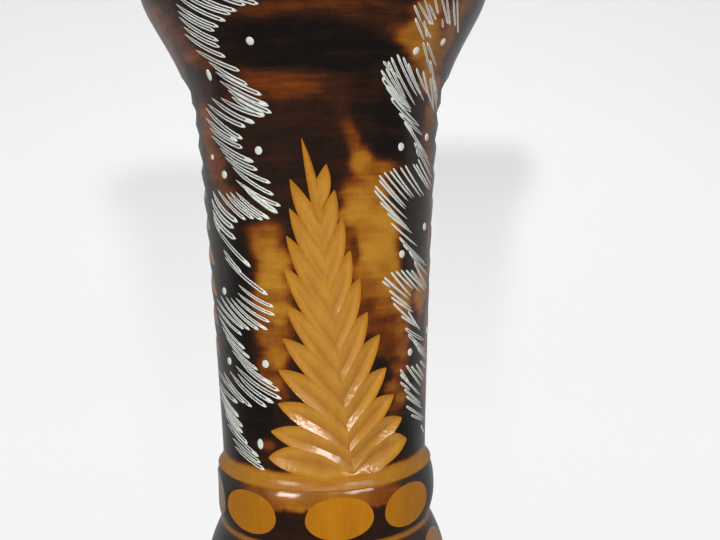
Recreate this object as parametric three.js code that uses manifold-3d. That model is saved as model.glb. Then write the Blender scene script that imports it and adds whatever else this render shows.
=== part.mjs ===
// Carved wooden vase: four turned pieces that stack on a hollow tenon, with leaf trees
// cut by a V gouge round the body and oval facets cut on the two beads.
// Millimetres, +Z up, origin at the middle of the underside, front of the vase towards -Y.
import * as THREE from "three";
import { mergeVertices } from "three/addons/utils/BufferGeometryUtils.js";
import Module from "manifold-3d";

const wasm = await Module();
wasm.setup();

// Heights
const totalHeight = 250;
const plateHeight = 10;
const footHeight = 65.6;
const ringHeight = 16.4;
const throatHeight = 100;
const rollHeight = 21;

// Bore, tenon and the clearance of a glued joint
const boreRadius = 21;
const tenonWall = 4;
const tenonLength = 34;
const glueGap = 0.3;
const spigotHeight = 8;
const tenonChamfer = 1;

// Body outline. A run is how far the side holds its direction before it bends: the throat's
// two runs are shares of the stretches below and above it.
const waistWall = 9.5;
const throatRise = 4.8;
const throatSlope = 0.107;
const waistRun = 6;
const neckRun = 0.25;
const flareRun = 0.5;
const headRun = 8;
const headRadius = 49.4;
const mouthRadius = 34.5;
const lipWidth = 5;
const lipDrop = 5;
const hollowBulge = 2;
const hollowDepth = 72;

// Flange at the foot of the body: a cove that runs out to the bead ring
const flangeHeight = 4;
const flangeRise = 1.6;
const seamNotch = 0.2;

// Bead ring
const ringWall = 7.7;
const beadTopDrop = 0.9;
const beadFootDrop = 1.6;

// Foot
const footBeadHeight = 20.6;
const footBeadRise = 4.8;
const footBeadShoulder = 2.8;
const footShoulderDrop = 6;
const footBeadSwell = 1;
const footSwellRise = 9;
const footGroove = 0.7;
const skirtRun = 0.42;
const hemRadius = 47.8;
const hemHeight = 2.5;

// Base plate
const plateLip = 1.7;
const plateRound = 2.2;

// Oval facets, scooped from each bead with one sweep of a wide gouge
const ovalCount = 8;
const ovalAzimuth = 9;
const ovalWander = 5.5;
const ovalWanderStep = 4.4;
const ovalDepth = 1.3;
const footOvalDepth = 1.25;
const footOvalPlace = 0.45;
const ovalSweep = 25;

// Leaf trees
const treePairs = 10;
const treeSpine = 74.4;
const treeCrowding = 1.4;
const treeLean = 6.3;
const treeFootOffset = 9.2;
const leafReach = 24.7;
const shortLeafReach = 19.4;
const topLeafReach = 17.5;
const crownLean = 10;
const crownShift = 0.8;
const crownBreadth = 0.55;
const leafFootAngle = 73;
const leafTopAngle = 19.5;
const leafAngleFade = 2.26;
const shortLeafDroop = 3;
const leafTopShrink = 0.43;
const leafDepth = 2.1;
const leafDepthFade = 0.4;
const leafUpperSpread = 2.6;
const leafLowerSpread = 1.2;
const footLeafSpread = 1.7;
const footLeafStart = 0.12;
const footLeafSettle = 0.35;
const leafBow = 1;
const leafBowFade = 3;
const strokeBlunt = 5;
const strokeBluntFade = 2.7;
const strokeRound = 0.9;
const cutterClear = 1.2;
const spineOverlap = 0.04;
const uprightFoot = 3.6;
const invertedDrop = 24;
const splayShortening = 0.004;

// How much longer than the even run each leaf was cut, from the foot of a tree up: the long
// leaves of one side, then the short ones of the other
const longLeafExtras = [0, 0, -1.2, 0, -0.3, 0, 1.8, 1, -0.3, 0];
const shortLeafExtras = [0.4, 0.4, -0.2, 0, 1.6, -0.6, 0.4, -0.8, -0.2, -0.6, -0.6];

// Smoothness
const turnedSides = 48;
const drumSides = 44;
const edgeSteps = 4;

// Levels and radii that follow from the sizes above
const seatZ = plateHeight;
const footTopZ = plateHeight + footHeight;
const ridgeZ = footTopZ + ringHeight;
const throatZ = ridgeZ + throatHeight;
const headZ = totalHeight - rollHeight;
const tenonEndZ = ridgeZ - tenonLength;
const socketFloorZ = tenonEndZ - glueGap;
const tenonRadius = boreRadius + tenonWall;
const ringBoreRadius = tenonRadius + glueGap;
const beadRadius = ringBoreRadius + ringWall;
const grooveRadius = beadRadius - beadFootDrop;
const waistRadius = boreRadius + waistWall;
const throatRadius = waistRadius + throatRise;
const flangeRadius = waistRadius + flangeRise;
const lipRadius = mouthRadius + lipWidth;
const plateRadius = hemRadius + plateLip;

const degrees = Math.PI / 180;

// A closed body from a geometry: shared corners merged, collapsed triangles dropped.
function solidFrom(geometry) {
  geometry.deleteAttribute("normal");
  geometry.deleteAttribute("uv");
  const merged = mergeVertices(geometry, 1e-4);
  const corners = merged.index.array;
  const kept = [];
  for (let i = 0; i < corners.length; i += 3) {
    const [a, b, c] = corners.slice(i, i + 3);
    if (a !== b && b !== c && c !== a) kept.push(a, b, c);
  }
  return new wasm.Manifold(
    new wasm.Mesh({
      numProp: 3,
      vertProperties: merged.attributes.position.array,
      triVerts: new Uint32Array(kept),
    }),
  );
}

// A geometry back from a closed body.
function geometryFrom(solid) {
  const mesh = solid.getMesh();
  return new THREE.BufferGeometry()
    .setAttribute("position", new THREE.BufferAttribute(mesh.vertProperties, 3))
    .setIndex(new THREE.BufferAttribute(mesh.triVerts, 1));
}

const at = (radius, height) => new THREE.Vector2(radius, height);

// A smooth stretch of outline between two points, with a handle at each end.
function sweep(start, startHandle, endHandle, end, steps) {
  return new THREE.CubicBezierCurve(start, startHandle, endHandle, end).getPoints(steps);
}

// A quarter of an ellipse from one outline point to the next.
function quarter(centre, from, to, steps = edgeSteps) {
  return Array.from({ length: steps + 1 }, (_, i) => {
    const turn = (i / steps) * 90 * degrees;
    return at(
      centre.x + (from.x - centre.x) * Math.cos(turn) + (to.x - centre.x) * Math.sin(turn),
      centre.y + (from.y - centre.y) * Math.cos(turn) + (to.y - centre.y) * Math.sin(turn),
    );
  });
}

// Turns an outline round the vase's axis. Points that repeat are dropped.
function turned(outline) {
  const profile = outline.filter((p, i) => i === 0 || p.distanceTo(outline[i - 1]) > 1e-6);
  const geometry = new THREE.LatheGeometry(profile, turnedSides);
  geometry.rotateX(90 * degrees);
  return solidFrom(geometry);
}

// Outer outline of the body, from its waist up to the widest line of the head.
function bodyOutline() {
  const waist = at(waistRadius, ridgeZ + flangeHeight);
  const throat = at(throatRadius, throatZ);
  const head = at(headRadius, headZ);
  const along = (rise) => at(throat.x + throatSlope * rise, throat.y + rise);
  const neckRise = neckRun * (throat.y - waist.y);
  const flareRise = flareRun * (head.y - throat.y);
  const neck = sweep(waist, at(waist.x, waist.y + waistRun), along(-neckRise), throat, 4);
  const flare = sweep(throat, along(flareRise), at(head.x, head.y - headRun), head, 7);
  return [...neck, ...flare.slice(1)];
}

const bodySide = bodyOutline();

// Radius and slope of an outline at a height. The outline's points run upwards.
function sideAt(outline, height) {
  const above = outline.findIndex((p, i) => i > 0 && p.y >= height);
  const upper = above < 0 ? outline.length - 1 : above;
  const [low, high] = [outline[upper - 1], outline[upper]];
  const slope = (high.x - low.x) / (high.y - low.y);
  return { radius: low.x + slope * (height - low.y), slope };
}

// A point over the body's side: azimuth from the front, height, and lift off the surface.
function overBody(azimuth, height, lift) {
  const { radius, slope } = sideAt(bodySide, height);
  const steep = Math.hypot(1, slope);
  const r = radius + lift / steep;
  const z = height - (lift * slope) / steep;
  return new THREE.Vector3(r * Math.sin(azimuth), -r * Math.cos(azimuth), z);
}

// Depth of a gouge stroke along a leaf, as a share of its deepest: t is 0 at the spine and
// 1 at the tip, where the tool lifts out. Past the tip it is just clear of the wood. Start is
// the share of its depth that it begins with, before it settles in. Blunt strokes hold their
// depth nearly to the tip.
function strokeDepth(t, { start, blunt }) {
  const pastTip = -0.02;
  const along = Math.max(t, 0);
  const settled = Math.min(along / footLeafSettle, 1);
  return t < 1 ? (start + (1 - start) * settled) * (1 - along ** blunt) ** strokeRound : pastTip;
}

// A point of a tree's flat layout, bent round the body and lifted off it.
function overTree(tree, across, up, lift) {
  const height = tree.footZ + tree.rise * up;
  const azimuth = tree.azimuth * degrees + (tree.hand * across) / sideAt(bodySide, height).radius;
  return overBody(azimuth, height, lift);
}

// How far the spine leans aside at a height up the tree.
const spineAcross = (up) => treeFootOffset - up * Math.tan(treeLean * degrees);

// One leaf of a tree, laid out on the flat: spine end, heading from the tree's own upright,
// length, deepest cut and the spread of its upper and lower faces.
function leafStroke(side, u, reach, tree) {
  const topAngle = leafTopAngle + tree.splay;
  const footAngle = leafFootAngle + (side > 0 ? shortLeafDroop : 0);
  const angle = topAngle + (footAngle - topAngle) * (1 - u) ** leafAngleFade;
  const up = treeSpine * tree.stretch * u ** treeCrowding;
  return {
    across: spineAcross(up),
    up,
    heading: (side * angle - treeLean) * degrees,
    reach: reach * (1 - splayShortening * tree.splay) * (1 - leafTopShrink * u ** 5.7),
    depth: leafDepth * (1 - leafDepthFade * u),
    bow: -side * Math.max(leafBow * (1 - leafBowFade * u), -leafBow),
    upper: leafUpperSpread * tree.breadth,
    lower: (u === 0 ? footLeafSpread : leafLowerSpread) * tree.breadth,
    start: u === 0 ? footLeafStart : 1,
    blunt: strokeBlunt - strokeBluntFade * u,
    side,
  };
}

// All the leaves on one side of a tree, from the foot up.
function sideStrokes(side, extras, reach, tree) {
  return extras.map((extra, i) => leafStroke(side, i / treePairs, reach + extra, tree));
}

// The single narrow leaf that crowns a tree.
function crownStroke(tree) {
  const crown = leafStroke(-1, 1, topLeafReach, tree);
  return {
    ...crown,
    across: crown.across - crownShift,
    reach: topLeafReach,
    heading: -crownLean * degrees,
    bow: 0,
    upper: crown.upper * crownBreadth,
    lower: crown.lower * crownBreadth,
  };
}

// The V-shaped body of wood that one gouge stroke takes away, bent round the vase.
function strokeCutter(stroke, tree) {
  const stations = [-0.25, 0.1, 0.42, 0.7, 0.88, 1.02];
  const positions = [];
  for (const t of stations) {
    const depth = strokeDepth(t, stroke) * stroke.depth;
    const run = t * stroke.reach;
    const bow = stroke.bow * 4 * Math.max(t, 0) * (1 - t);
    const [sin, cos] = [Math.sin(stroke.heading), Math.cos(stroke.heading)];
    const place = (offset, lift) => {
      const off = offset + bow;
      const across = stroke.across + run * sin + off * cos;
      const up = stroke.up + run * cos - off * sin;
      positions.push(...overTree(tree, across, up, lift));
    };
    const above = stroke.upper * (depth + cutterClear);
    const below = stroke.lower * (depth + cutterClear);
    place(-stroke.side * above, cutterClear);
    place(0, -depth);
    place(stroke.side * below, cutterClear);
  }
  const faces = [];
  const flip = stroke.side * tree.rise * tree.hand > 0;
  const face = (a, b, c) => faces.push(...(flip ? [a, c, b] : [a, b, c]));
  const ends = 3 * (stations.length - 1);
  for (let i = 0; i < ends; i += 3) {
    for (const [j, k] of [[0, 1], [1, 2], [2, 0]]) {
      face(i + j, i + k, i + 3 + k);
      face(i + j, i + 3 + k, i + 3 + j);
    }
  }
  face(0, 2, 1);
  face(ends, ends + 1, ends + 2);
  const geometry = new THREE.BufferGeometry()
    .setAttribute("position", new THREE.Float32BufferAttribute(positions, 3))
    .setIndex(faces);
  return solidFrom(geometry);
}

// The block of space on one side of a tree's spine, a hair past it so that no fin is left.
function spineBlock(side, tree) {
  const spine = treeSpine * tree.stretch;
  const middle = overTree(tree, spineAcross(spine / 2), spine / 2, 0);
  const foot = overTree(tree, spineAcross(0), 0, 0);
  const top = overTree(tree, spineAcross(spine), spine, 0);
  const along = top.clone().sub(foot).normalize();
  const aside = new THREE.Vector3(middle.x, middle.y, 0).cross(along).normalize();
  const outward = along.clone().cross(aside);
  const size = 2 * spine;
  const block = new THREE.BoxGeometry(size, size, size);
  block.translate(-side * tree.rise * tree.hand * (size / 2 - spineOverlap), 0, 0);
  block.applyMatrix4(new THREE.Matrix4().makeBasis(aside, outward, along).setPosition(middle));
  return solidFrom(block);
}

// The wood that the gouge takes out of one side of a tree: its strokes stop at the spine.
function halfTree(side, extras, reach, tree) {
  const strokes = sideStrokes(side, extras, reach, tree);
  const [first, ...rest] = strokes.map((stroke) => strokeCutter(stroke, tree));
  return rest.reduce((all, next) => all.add(next), first).intersect(spineBlock(side, tree));
}

// Four trees share the body: upright front and back, inverted at the two sides, where the
// spine is longer and the leaves are splayed wider and cut broader. Azimuths and splays are
// degrees, and azimuths run from the front towards the viewer's right.
const upright = { footZ: ridgeZ + uprightFoot, rise: 1, splay: 0, breadth: 1, stretch: 1 };
const inverted = { footZ: headZ - invertedDrop, rise: -1 };
const trees = [
  { ...upright, azimuth: 0, hand: 1 },
  { ...inverted, azimuth: 95, hand: 1, splay: 12, breadth: 1.15, stretch: 1.05 },
  { ...upright, azimuth: 185, hand: 1 },
  { ...inverted, azimuth: -88, hand: -1, splay: 25, breadth: 1.3, stretch: 1.07 },
];

function carvedBody() {
  const edge = at(flangeRadius, ridgeZ + seamNotch);
  const waist = bodySide[0];
  const head = at(headRadius, headZ);
  const crest = at(lipRadius, totalHeight);
  const mouth = at(mouthRadius, totalHeight - lipDrop);
  const hollow = at(boreRadius, totalHeight - lipDrop - hollowDepth);
  const outline = [
    at(boreRadius, tenonEndZ),
    at(tenonRadius - tenonChamfer, tenonEndZ),
    at(tenonRadius, tenonEndZ + tenonChamfer),
    at(tenonRadius, ridgeZ),
    at(flangeRadius - seamNotch, ridgeZ),
    ...sweep(
      edge,
      at(edge.x - flangeRise / 2, edge.y + flangeHeight / 4),
      at(waist.x, waist.y - flangeHeight / 2),
      waist,
      3,
    ).slice(0, -1),
    ...bodySide,
    ...quarter(at(crest.x, head.y), head, crest).slice(1),
    ...quarter(at(crest.x, mouth.y), crest, mouth, 3).slice(1),
    ...sweep(
      mouth,
      at(mouth.x + hollowBulge, mouth.y - hollowDepth / 2),
      at(hollow.x, hollow.y + hollowDepth / 3),
      hollow,
      5,
    ).slice(1),
    at(boreRadius, tenonEndZ),
  ];
  let body = turned(outline);
  for (const tree of trees) {
    body = body.subtract(halfTree(-1, longLeafExtras, leafReach, tree));
    body = body.subtract(halfTree(1, shortLeafExtras, shortLeafReach, tree));
    body = body.subtract(strokeCutter(crownStroke(tree), tree));
  }
  return body;
}

// Oval facets scooped round a bead. Each cut is the side of a wide level drum, which leans
// with the bead and is as long as the bead is thick.
function withOvals(bead, { radius, height, lean, depth, firstAzimuth }) {
  const drum = new THREE.CylinderGeometry(ovalSweep, ovalSweep, radius, drumSides);
  drum.rotateZ(90 * degrees).translate(0, -ovalSweep, 0).rotateX(-lean);
  let cutBead = bead;
  for (let i = 0; i < ovalCount; i += 1) {
    const wander = ovalWander * Math.sin(ovalWanderStep * i);
    const azimuth = firstAzimuth + (360 / ovalCount) * i + wander;
    const cutter = drum
      .clone()
      .translate(0, depth - radius, height)
      .rotateZ(azimuth * degrees);
    cutBead = cutBead.subtract(solidFrom(cutter));
  }
  return cutBead;
}

function beadRing() {
  const middleZ = (footTopZ + ridgeZ) / 2;
  const bead = Array.from({ length: 9 }, (_, i) => {
    const t = i / 4 - 1;
    const drop = t < 0 ? beadFootDrop : beadTopDrop;
    return at(beadRadius - drop * t * t, middleZ + (ringHeight / 2 - seamNotch) * t);
  });
  const outline = [
    at(ringBoreRadius, footTopZ),
    at(grooveRadius - seamNotch, footTopZ),
    ...bead,
    at(flangeRadius - seamNotch, ridgeZ),
    at(ringBoreRadius, ridgeZ),
    at(ringBoreRadius, footTopZ),
  ];
  return withOvals(turned(outline), {
    radius: beadRadius,
    height: middleZ,
    lean: 0,
    depth: ovalDepth,
    firstAzimuth: ovalAzimuth,
  });
}

function bellFoot() {
  const beadFoot = at(grooveRadius + footBeadRise, footTopZ - footBeadHeight);
  const groove = at(beadFoot.x - footGroove, beadFoot.y - footGroove);
  const hem = at(hemRadius, seatZ + hemHeight);
  const skirtHold = skirtRun * (groove.y - hem.y);
  const skirt = sweep(
    hem,
    at(hem.x, hem.y + skirtHold),
    at(groove.x, groove.y - skirtHold),
    groove,
    8,
  );
  const bead = sweep(
    beadFoot,
    at(beadFoot.x + footBeadSwell, beadFoot.y + footSwellRise),
    at(grooveRadius + footBeadShoulder, footTopZ - footShoulderDrop),
    at(grooveRadius, footTopZ - seamNotch),
    7,
  );
  const outline = [
    at(boreRadius, seatZ),
    at(hemRadius - footGroove, seatZ),
    ...skirt,
    ...bead,
    at(grooveRadius - seamNotch, footTopZ),
    at(ringBoreRadius, footTopZ),
    at(ringBoreRadius, socketFloorZ),
    at(boreRadius, socketFloorZ),
    at(boreRadius, seatZ),
  ];
  const ovalZ = footTopZ - footOvalPlace * footBeadHeight;
  const { radius, slope } = sideAt(bead, ovalZ);
  return withOvals(turned(outline), {
    radius,
    height: ovalZ,
    lean: Math.atan(-slope),
    depth: footOvalDepth,
    firstAzimuth: ovalAzimuth + 180 / ovalCount,
  });
}

function basePlate() {
  const spigotRadius = boreRadius - glueGap;
  const outline = [
    at(0, 0),
    at(plateRadius - plateRound / 2, 0),
    at(plateRadius, plateRound / 2),
    ...quarter(
      at(plateRadius - plateRound, plateHeight - plateRound),
      at(plateRadius, plateHeight - plateRound),
      at(plateRadius - plateRound, plateHeight),
    ),
    at(spigotRadius, plateHeight),
    at(spigotRadius, plateHeight + spigotHeight - tenonChamfer),
    at(spigotRadius - tenonChamfer, plateHeight + spigotHeight),
    at(0, plateHeight + spigotHeight),
  ];
  return turned(outline);
}

const vase = new THREE.Group();

// Adds a named piece with its finish.
function addPiece(name, solid, color, roughness) {
  const material = new THREE.MeshStandardMaterial({ color, roughness, metalness: 0 });
  const mesh = new THREE.Mesh(geometryFrom(solid), material);
  mesh.name = name;
  vase.add(mesh);
}

addPiece("vase_body", carvedBody(), 0x5a3416, 0.3);
addPiece("bead_ring", beadRing(), 0x6b3f18, 0.3);
addPiece("bell_foot", bellFoot(), 0x4a2a12, 0.3);
addPiece("base_plate", basePlate(), 0x3a2212, 0.35);

export default vase;
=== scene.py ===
"""Looks of a carved wooden vase, laid out as a Blender add-on and run as a script.

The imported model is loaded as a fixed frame. Each operator makes one piece of the vase, or the
stage that it stands on. Everything is in metres, in the frame's own axes: +Z up, front to -Y.
"""
import math
import random
from typing import NamedTuple

import bpy
import numpy as np
from bpy.props import FloatProperty, FloatVectorProperty, IntProperty, PointerProperty
from mathutils import Matrix, Vector, noise
from mathutils.bvhtree import BVHTree


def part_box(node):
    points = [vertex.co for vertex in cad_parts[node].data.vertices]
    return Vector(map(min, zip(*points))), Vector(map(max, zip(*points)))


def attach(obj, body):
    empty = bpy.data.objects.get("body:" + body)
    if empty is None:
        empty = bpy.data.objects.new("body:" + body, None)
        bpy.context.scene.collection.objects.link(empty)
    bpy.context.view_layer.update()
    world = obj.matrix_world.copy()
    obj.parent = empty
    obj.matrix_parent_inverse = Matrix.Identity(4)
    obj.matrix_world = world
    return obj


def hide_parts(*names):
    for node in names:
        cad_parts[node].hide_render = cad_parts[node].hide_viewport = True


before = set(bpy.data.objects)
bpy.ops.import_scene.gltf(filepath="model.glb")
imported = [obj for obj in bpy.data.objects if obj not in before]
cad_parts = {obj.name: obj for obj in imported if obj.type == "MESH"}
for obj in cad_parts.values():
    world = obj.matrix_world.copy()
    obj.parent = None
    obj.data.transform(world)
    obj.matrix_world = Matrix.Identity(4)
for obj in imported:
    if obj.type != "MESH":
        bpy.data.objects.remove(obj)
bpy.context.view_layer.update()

bl_info = {
    "name": "Carved Wooden Vase",
    "version": (1, 0, 0),
    "blender": (4, 5, 0),
    "location": "3D View > Sidebar > Vase",
    "description": "Turned, burnt, carved and painted pieces of a wooden vase",
    "category": "Add Mesh",
}

mm = 0.001

# Fits of the turned pieces, which the frame doesn't give
TENON_WALL = 4 * mm
GLUE_GAP = 0.3 * mm
COLLAR_FOOT_DROP = 1.6 * mm

# Azimuth where the back repeats the front's carving and paint
BACK_DEGREES = 185

# Levels and radii that the frame gives
BODY_LOW, BODY_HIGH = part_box("vase_body")
RING_LOW, RING_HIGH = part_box("bead_ring")
FOOT_LOW, FOOT_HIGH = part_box("bell_foot")
PLATE_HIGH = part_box("base_plate")[1]
RIDGE_Z = RING_HIGH.z
FOOT_TOP_Z = RING_LOW.z
TENON_END_Z = BODY_LOW.z
TOP_Z = BODY_HIGH.z
HEAD_RADIUS = BODY_HIGH.x
HEM_RADIUS = FOOT_HIGH.x
PLATE_RADIUS = PLATE_HIGH.x
SEAT_Z = FOOT_LOW.z
SPIGOT_TOP_Z = PLATE_HIGH.z

# Photograph's camera, fitted to the rings and the silhouette of the turned body
PHOTO_WIDTH = 720
PHOTO_HEIGHT = 540
FOCAL_PIXELS = 950
SENSOR_WIDTH = 36
CAMERA_PLACE = Vector((11.69, -281.4, 181.2)) * mm
CAMERA_PITCH = math.radians(6.59)
CAMERA_ROLL = math.radians(-0.99)


# Sizes and colours that a user would change


def length(name, description, default):
    """A property that holds a length."""
    return FloatProperty(name=name, description=description, default=default, unit="LENGTH")


def angle(name, description, degrees):
    """A property that holds an angle."""
    return FloatProperty(
        name=name, description=description, default=math.radians(degrees), subtype="ANGLE"
    )


def power(name, description, watts):
    """A property that holds the power of a lamp."""
    return FloatProperty(name=name, description=description, default=watts, unit="POWER")


def colour(name, description, code):
    """A property that holds a colour, given as the six digits of its screen value."""
    settings = {"size": 4, "min": 0.0, "max": 1.0, "subtype": "COLOR"}
    start = screen_colour(code)
    return FloatVectorProperty(name=name, description=description, default=start, **settings)


def screen_colour(code):
    """Linear colour with full alpha from six hexadecimal digits of a screen value."""
    channels = [int(code[i : i + 2], 16) / 255 for i in (0, 2, 4)]
    linear = [c / 12.92 if c <= 0.04045 else ((c + 0.055) / 1.055) ** 2.4 for c in channels]
    return (*linear, 1.0)


class TurningSizes(bpy.types.PropertyGroup):
    """Outline of the turned pieces."""

    bore: length("Bore", "Radius of the bore", 21 * mm)
    waist: length("Waist", "Radius just above the collar", 30.5 * mm)
    throat: length("Throat", "Radius where the neck begins to flare", 35.3 * mm)
    throat_height: length("Throat height", "From the collar up to the throat", 100 * mm)
    head_drop: length("Head drop", "From the rim down to the widest line", 21 * mm)
    mouth: length("Mouth", "Radius of the mouth", 34.5 * mm)
    lip: length("Lip", "Width of the rolled lip", 5 * mm)
    flange: length("Flange", "Height of the cove above the collar", 4 * mm)
    flange_rise: length("Flange rise", "How far the cove runs out", 1.6 * mm)
    collar_wall: length("Collar wall", "Thickness of the collar", 7.7 * mm)
    foot_bead: length("Foot bead", "Height of the bead on the foot", 20.6 * mm)
    foot_bead_rise: length("Foot bead rise", "How far the foot's bead runs out", 4.8 * mm)
    seam: length("Seam", "Rounding of the edges where pieces meet", 0.2 * mm)


class TreeSizes(bpy.types.PropertyGroup):
    """Leaf trees cut with a V gouge."""

    pairs: IntProperty(name="Pairs", description="Pairs of leaves", default=10, min=3)
    spine: length("Spine", "Height of the spine", 74.4 * mm)
    lean: angle("Lean", "How far the spine leans aside", 6.3)
    foot_offset: length("Foot offset", "How far aside the spine starts", 9.2 * mm)
    reach: length("Reach", "Length of a long leaf", 24.7 * mm)
    short_reach: length("Short reach", "Length of a short leaf", 19.4 * mm)
    top_reach: length("Top reach", "Length of the leaf that crowns the tree", 17.5 * mm)
    foot_angle: angle("Foot angle", "Spread of the lowest leaves", 73)
    top_angle: angle("Top angle", "Spread of the highest leaves", 19.5)
    depth: length("Depth", "Depth of the lowest strokes", 2.1 * mm)


class OvalSizes(bpy.types.PropertyGroup):
    """Oval facets scooped from the two beads."""

    count: IntProperty(name="Count", description="Facets round each bead", default=8, min=1)
    azimuth: angle("Azimuth", "Place of the first facet of the collar", 9)
    wander: angle("Wander", "How unevenly the facets are spaced", 5.5)
    depth: length("Depth", "Depth of the collar's facets", 1.4 * mm)
    foot_depth: length("Foot depth", "Depth of the foot's facets", 1.25 * mm)
    sweep: length("Sweep", "Radius of the gouge that scoops them", 33 * mm)


class WoodColours(bpy.types.PropertyGroup):
    """Colours of the wood, from bare to charred."""

    gold: colour("Gold", "Wood that the flame hardly touched", "bd8429")
    ochre: colour("Ochre", "Lightly scorched wood", "a3671b")
    chestnut: colour("Chestnut", "Scorched wood", "74380f")
    umber: colour("Umber", "Dark scorched wood", "3b2011")
    char: colour("Char", "Charred wood", "15110e")
    facet: colour("Facet", "Wood bared by the gouge", "cf963c")
    oval: colour("Oval", "Wood of the scooped facets", "be7a0e")
    enamel: colour("Enamel", "Thick white enamel", "dfe2d8")
    thin_enamel: colour("Thin enamel", "White enamel where it runs thin", "5d6067")


class EnamelSizes(bpy.types.PropertyGroup):
    """Painted strokes and dots."""

    rim: length("Rim", "Width of each raised rim of a stroke", 0.42 * mm)
    gap: length("Gap", "How far apart the two rims of a stroke run", 0.84 * mm)
    dot: length("Dot", "Width of a dot", 2.2 * mm)
    dot_rise: length("Dot rise", "How far a dot stands proud", 0.3 * mm)


class StageLook(bpy.types.PropertyGroup):
    """Floor, backdrop, lamps and surroundings."""

    backdrop: colour("Backdrop", "Floor and backdrop", "e0e0e1")
    sky: FloatProperty(name="Sky", description="Strength of the surroundings", default=0.06)
    key: power("Key", "Power that the softboxes share out", 1.7)
    soft: power("Soft", "Power of the soft lights above and behind", 6)
    lamp: power("Lamps", "Power that the far lamps share out", 166)


# Turning


def bezier(start, start_handle, end_handle, end, steps):
    """Points of a cubic stretch of outline, both ends included."""
    t = np.linspace(0, 1, steps + 1)[:, None]
    corners = np.array([start, start_handle, end_handle, end], float)
    share = np.hstack([(1 - t) ** 3, 3 * t * (1 - t) ** 2, 3 * t**2 * (1 - t), t**3])
    return share @ corners


def quarter(centre, start, end, steps):
    """Points of a quarter of an ellipse from start to end."""
    turn = np.linspace(0, math.pi / 2, steps + 1)[:, None]
    centre, start, end = np.array(centre), np.array(start), np.array(end)
    return centre + (start - centre) * np.cos(turn) + (end - centre) * np.sin(turn)


def run(*points, step=2.5 * mm):
    """Straight runs through the points, with a ring of vertices every step."""
    rows = [np.array(points[:1], float)]
    for start, end in zip(points, points[1:]):
        count = max(1, round(math.dist(start, end) / step))
        rows.append(np.linspace(start, end, count + 1)[1:])
    return np.vstack(rows)


def neck_side(sizes):
    """Outer side of the body, from its waist up to the widest line of the head."""
    throat_slope = 0.107
    waist_handle, head_handle = 6 * mm, 8 * mm
    neck_rings, flare_rings = 112, 48
    waist = (sizes.waist, RIDGE_Z + sizes.flange)
    throat = (sizes.throat, RIDGE_Z + sizes.throat_height)
    head = (HEAD_RADIUS, TOP_Z - sizes.head_drop)
    neck_run = (throat[1] - waist[1]) / 4
    flare_run = (head[1] - throat[1]) / 2
    below = (throat[0] - throat_slope * neck_run, throat[1] - neck_run)
    above = (throat[0] + throat_slope * flare_run, throat[1] + flare_run)
    neck = bezier(waist, (waist[0], waist[1] + waist_handle), below, throat, neck_rings)
    flare = bezier(throat, above, (head[0], head[1] - head_handle), head, flare_rings)
    return np.vstack([neck, flare[1:]])


def cove_side(sizes):
    """Cove between the collar and the waist."""
    edge = (sizes.waist + sizes.flange_rise, RIDGE_Z + sizes.seam)
    waist = (sizes.waist, RIDGE_Z + sizes.flange)
    low = (edge[0] - sizes.flange_rise / 2, edge[1] + sizes.flange / 4)
    high = (waist[0], waist[1] - sizes.flange / 2)
    return bezier(edge, low, high, waist, steps=9)


def turned(name, outline, materials, sides=256):
    """A mesh object spun from a closed outline, or from one that starts and ends on the axis."""
    on_axis = 1e-9
    outline = np.asarray(outline)
    azimuths = np.arange(sides) * 2 * math.pi / sides
    vertices = []
    rings = []
    for radius, height in outline:
        if radius < on_axis:
            rings.append([len(vertices)] * sides)
            vertices.append((0.0, 0.0, height))
            continue
        rings.append(list(range(len(vertices), len(vertices) + sides)))
        vertices += [(radius * math.sin(a), -radius * math.cos(a), height) for a in azimuths]
    closed = outline[0][0] > on_axis
    pairs = list(zip(rings, rings[1:])) + ([(rings[-1], rings[0])] if closed else [])
    faces = []
    for lower, upper in pairs:
        for j in range(sides):
            k = (j + 1) % sides
            corners = dict.fromkeys((lower[j], lower[k], upper[k], upper[j]))
            faces.append(tuple(corners))
    return mesh_object(name, vertices, faces, materials)


def mesh_object(name, vertices, faces, materials):
    """An object at the origin with these materials."""
    mesh = bpy.data.meshes.new(name)
    mesh.from_pydata([tuple(v) for v in vertices], [], faces)
    for material in materials:
        mesh.materials.append(material)
    piece = bpy.data.objects.new(name, mesh)
    bpy.context.scene.collection.objects.link(piece)
    return piece


# Carving


class Side:
    """Radius and slope of the body's side by height."""

    def __init__(self, points):
        self.heights = points[:, 1]
        self.radii = points[:, 0]
        self.slopes = np.gradient(self.radii, self.heights)

    def over(self, azimuth, height, lift):
        """A point at this azimuth and height, lifted off the surface."""
        slope = np.interp(height, self.heights, self.slopes)
        steep = math.hypot(1, slope)
        r = np.interp(height, self.heights, self.radii) + lift / steep
        x, y = r * math.sin(azimuth), -r * math.cos(azimuth)
        return Vector((x, y, height - lift * slope / steep))

    def radius(self, height):
        """Radius of the side at a height."""
        return float(np.interp(height, self.heights, self.radii))


class Tree(NamedTuple):
    """Place of one leaf tree, with its azimuth and splay in degrees.

    Rise and hand are 1, or -1 where the tree is inverted or mirrored.
    """

    azimuth: float
    foot: float
    rise: int = 1
    hand: int = 1
    splay: float = 0.0
    breadth: float = 1.0
    stretch: float = 1.0


class Stroke(NamedTuple):
    """One leaf, laid out on the flat. Upper and lower are widths as a multiple of its depth."""

    across: float
    up: float
    heading: float
    reach: float
    depth: float
    bow: float
    upper: float
    lower: float
    start: float
    blunt: float
    side: int


# How much longer than the even run each leaf was cut, from the foot of the tree up
LONG_LEAVES = [n * mm for n in (0.0, 0.0, -1.2, 0.0, -0.3, 0.0, 1.8, 1.0, -0.3, 0.0)]
SHORT_LEAVES = [n * mm for n in (0.4, 0.4, -0.2, 0.0, 1.6, -0.6, 0.4, -0.8, -0.2, -0.6, -0.6)]


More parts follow.
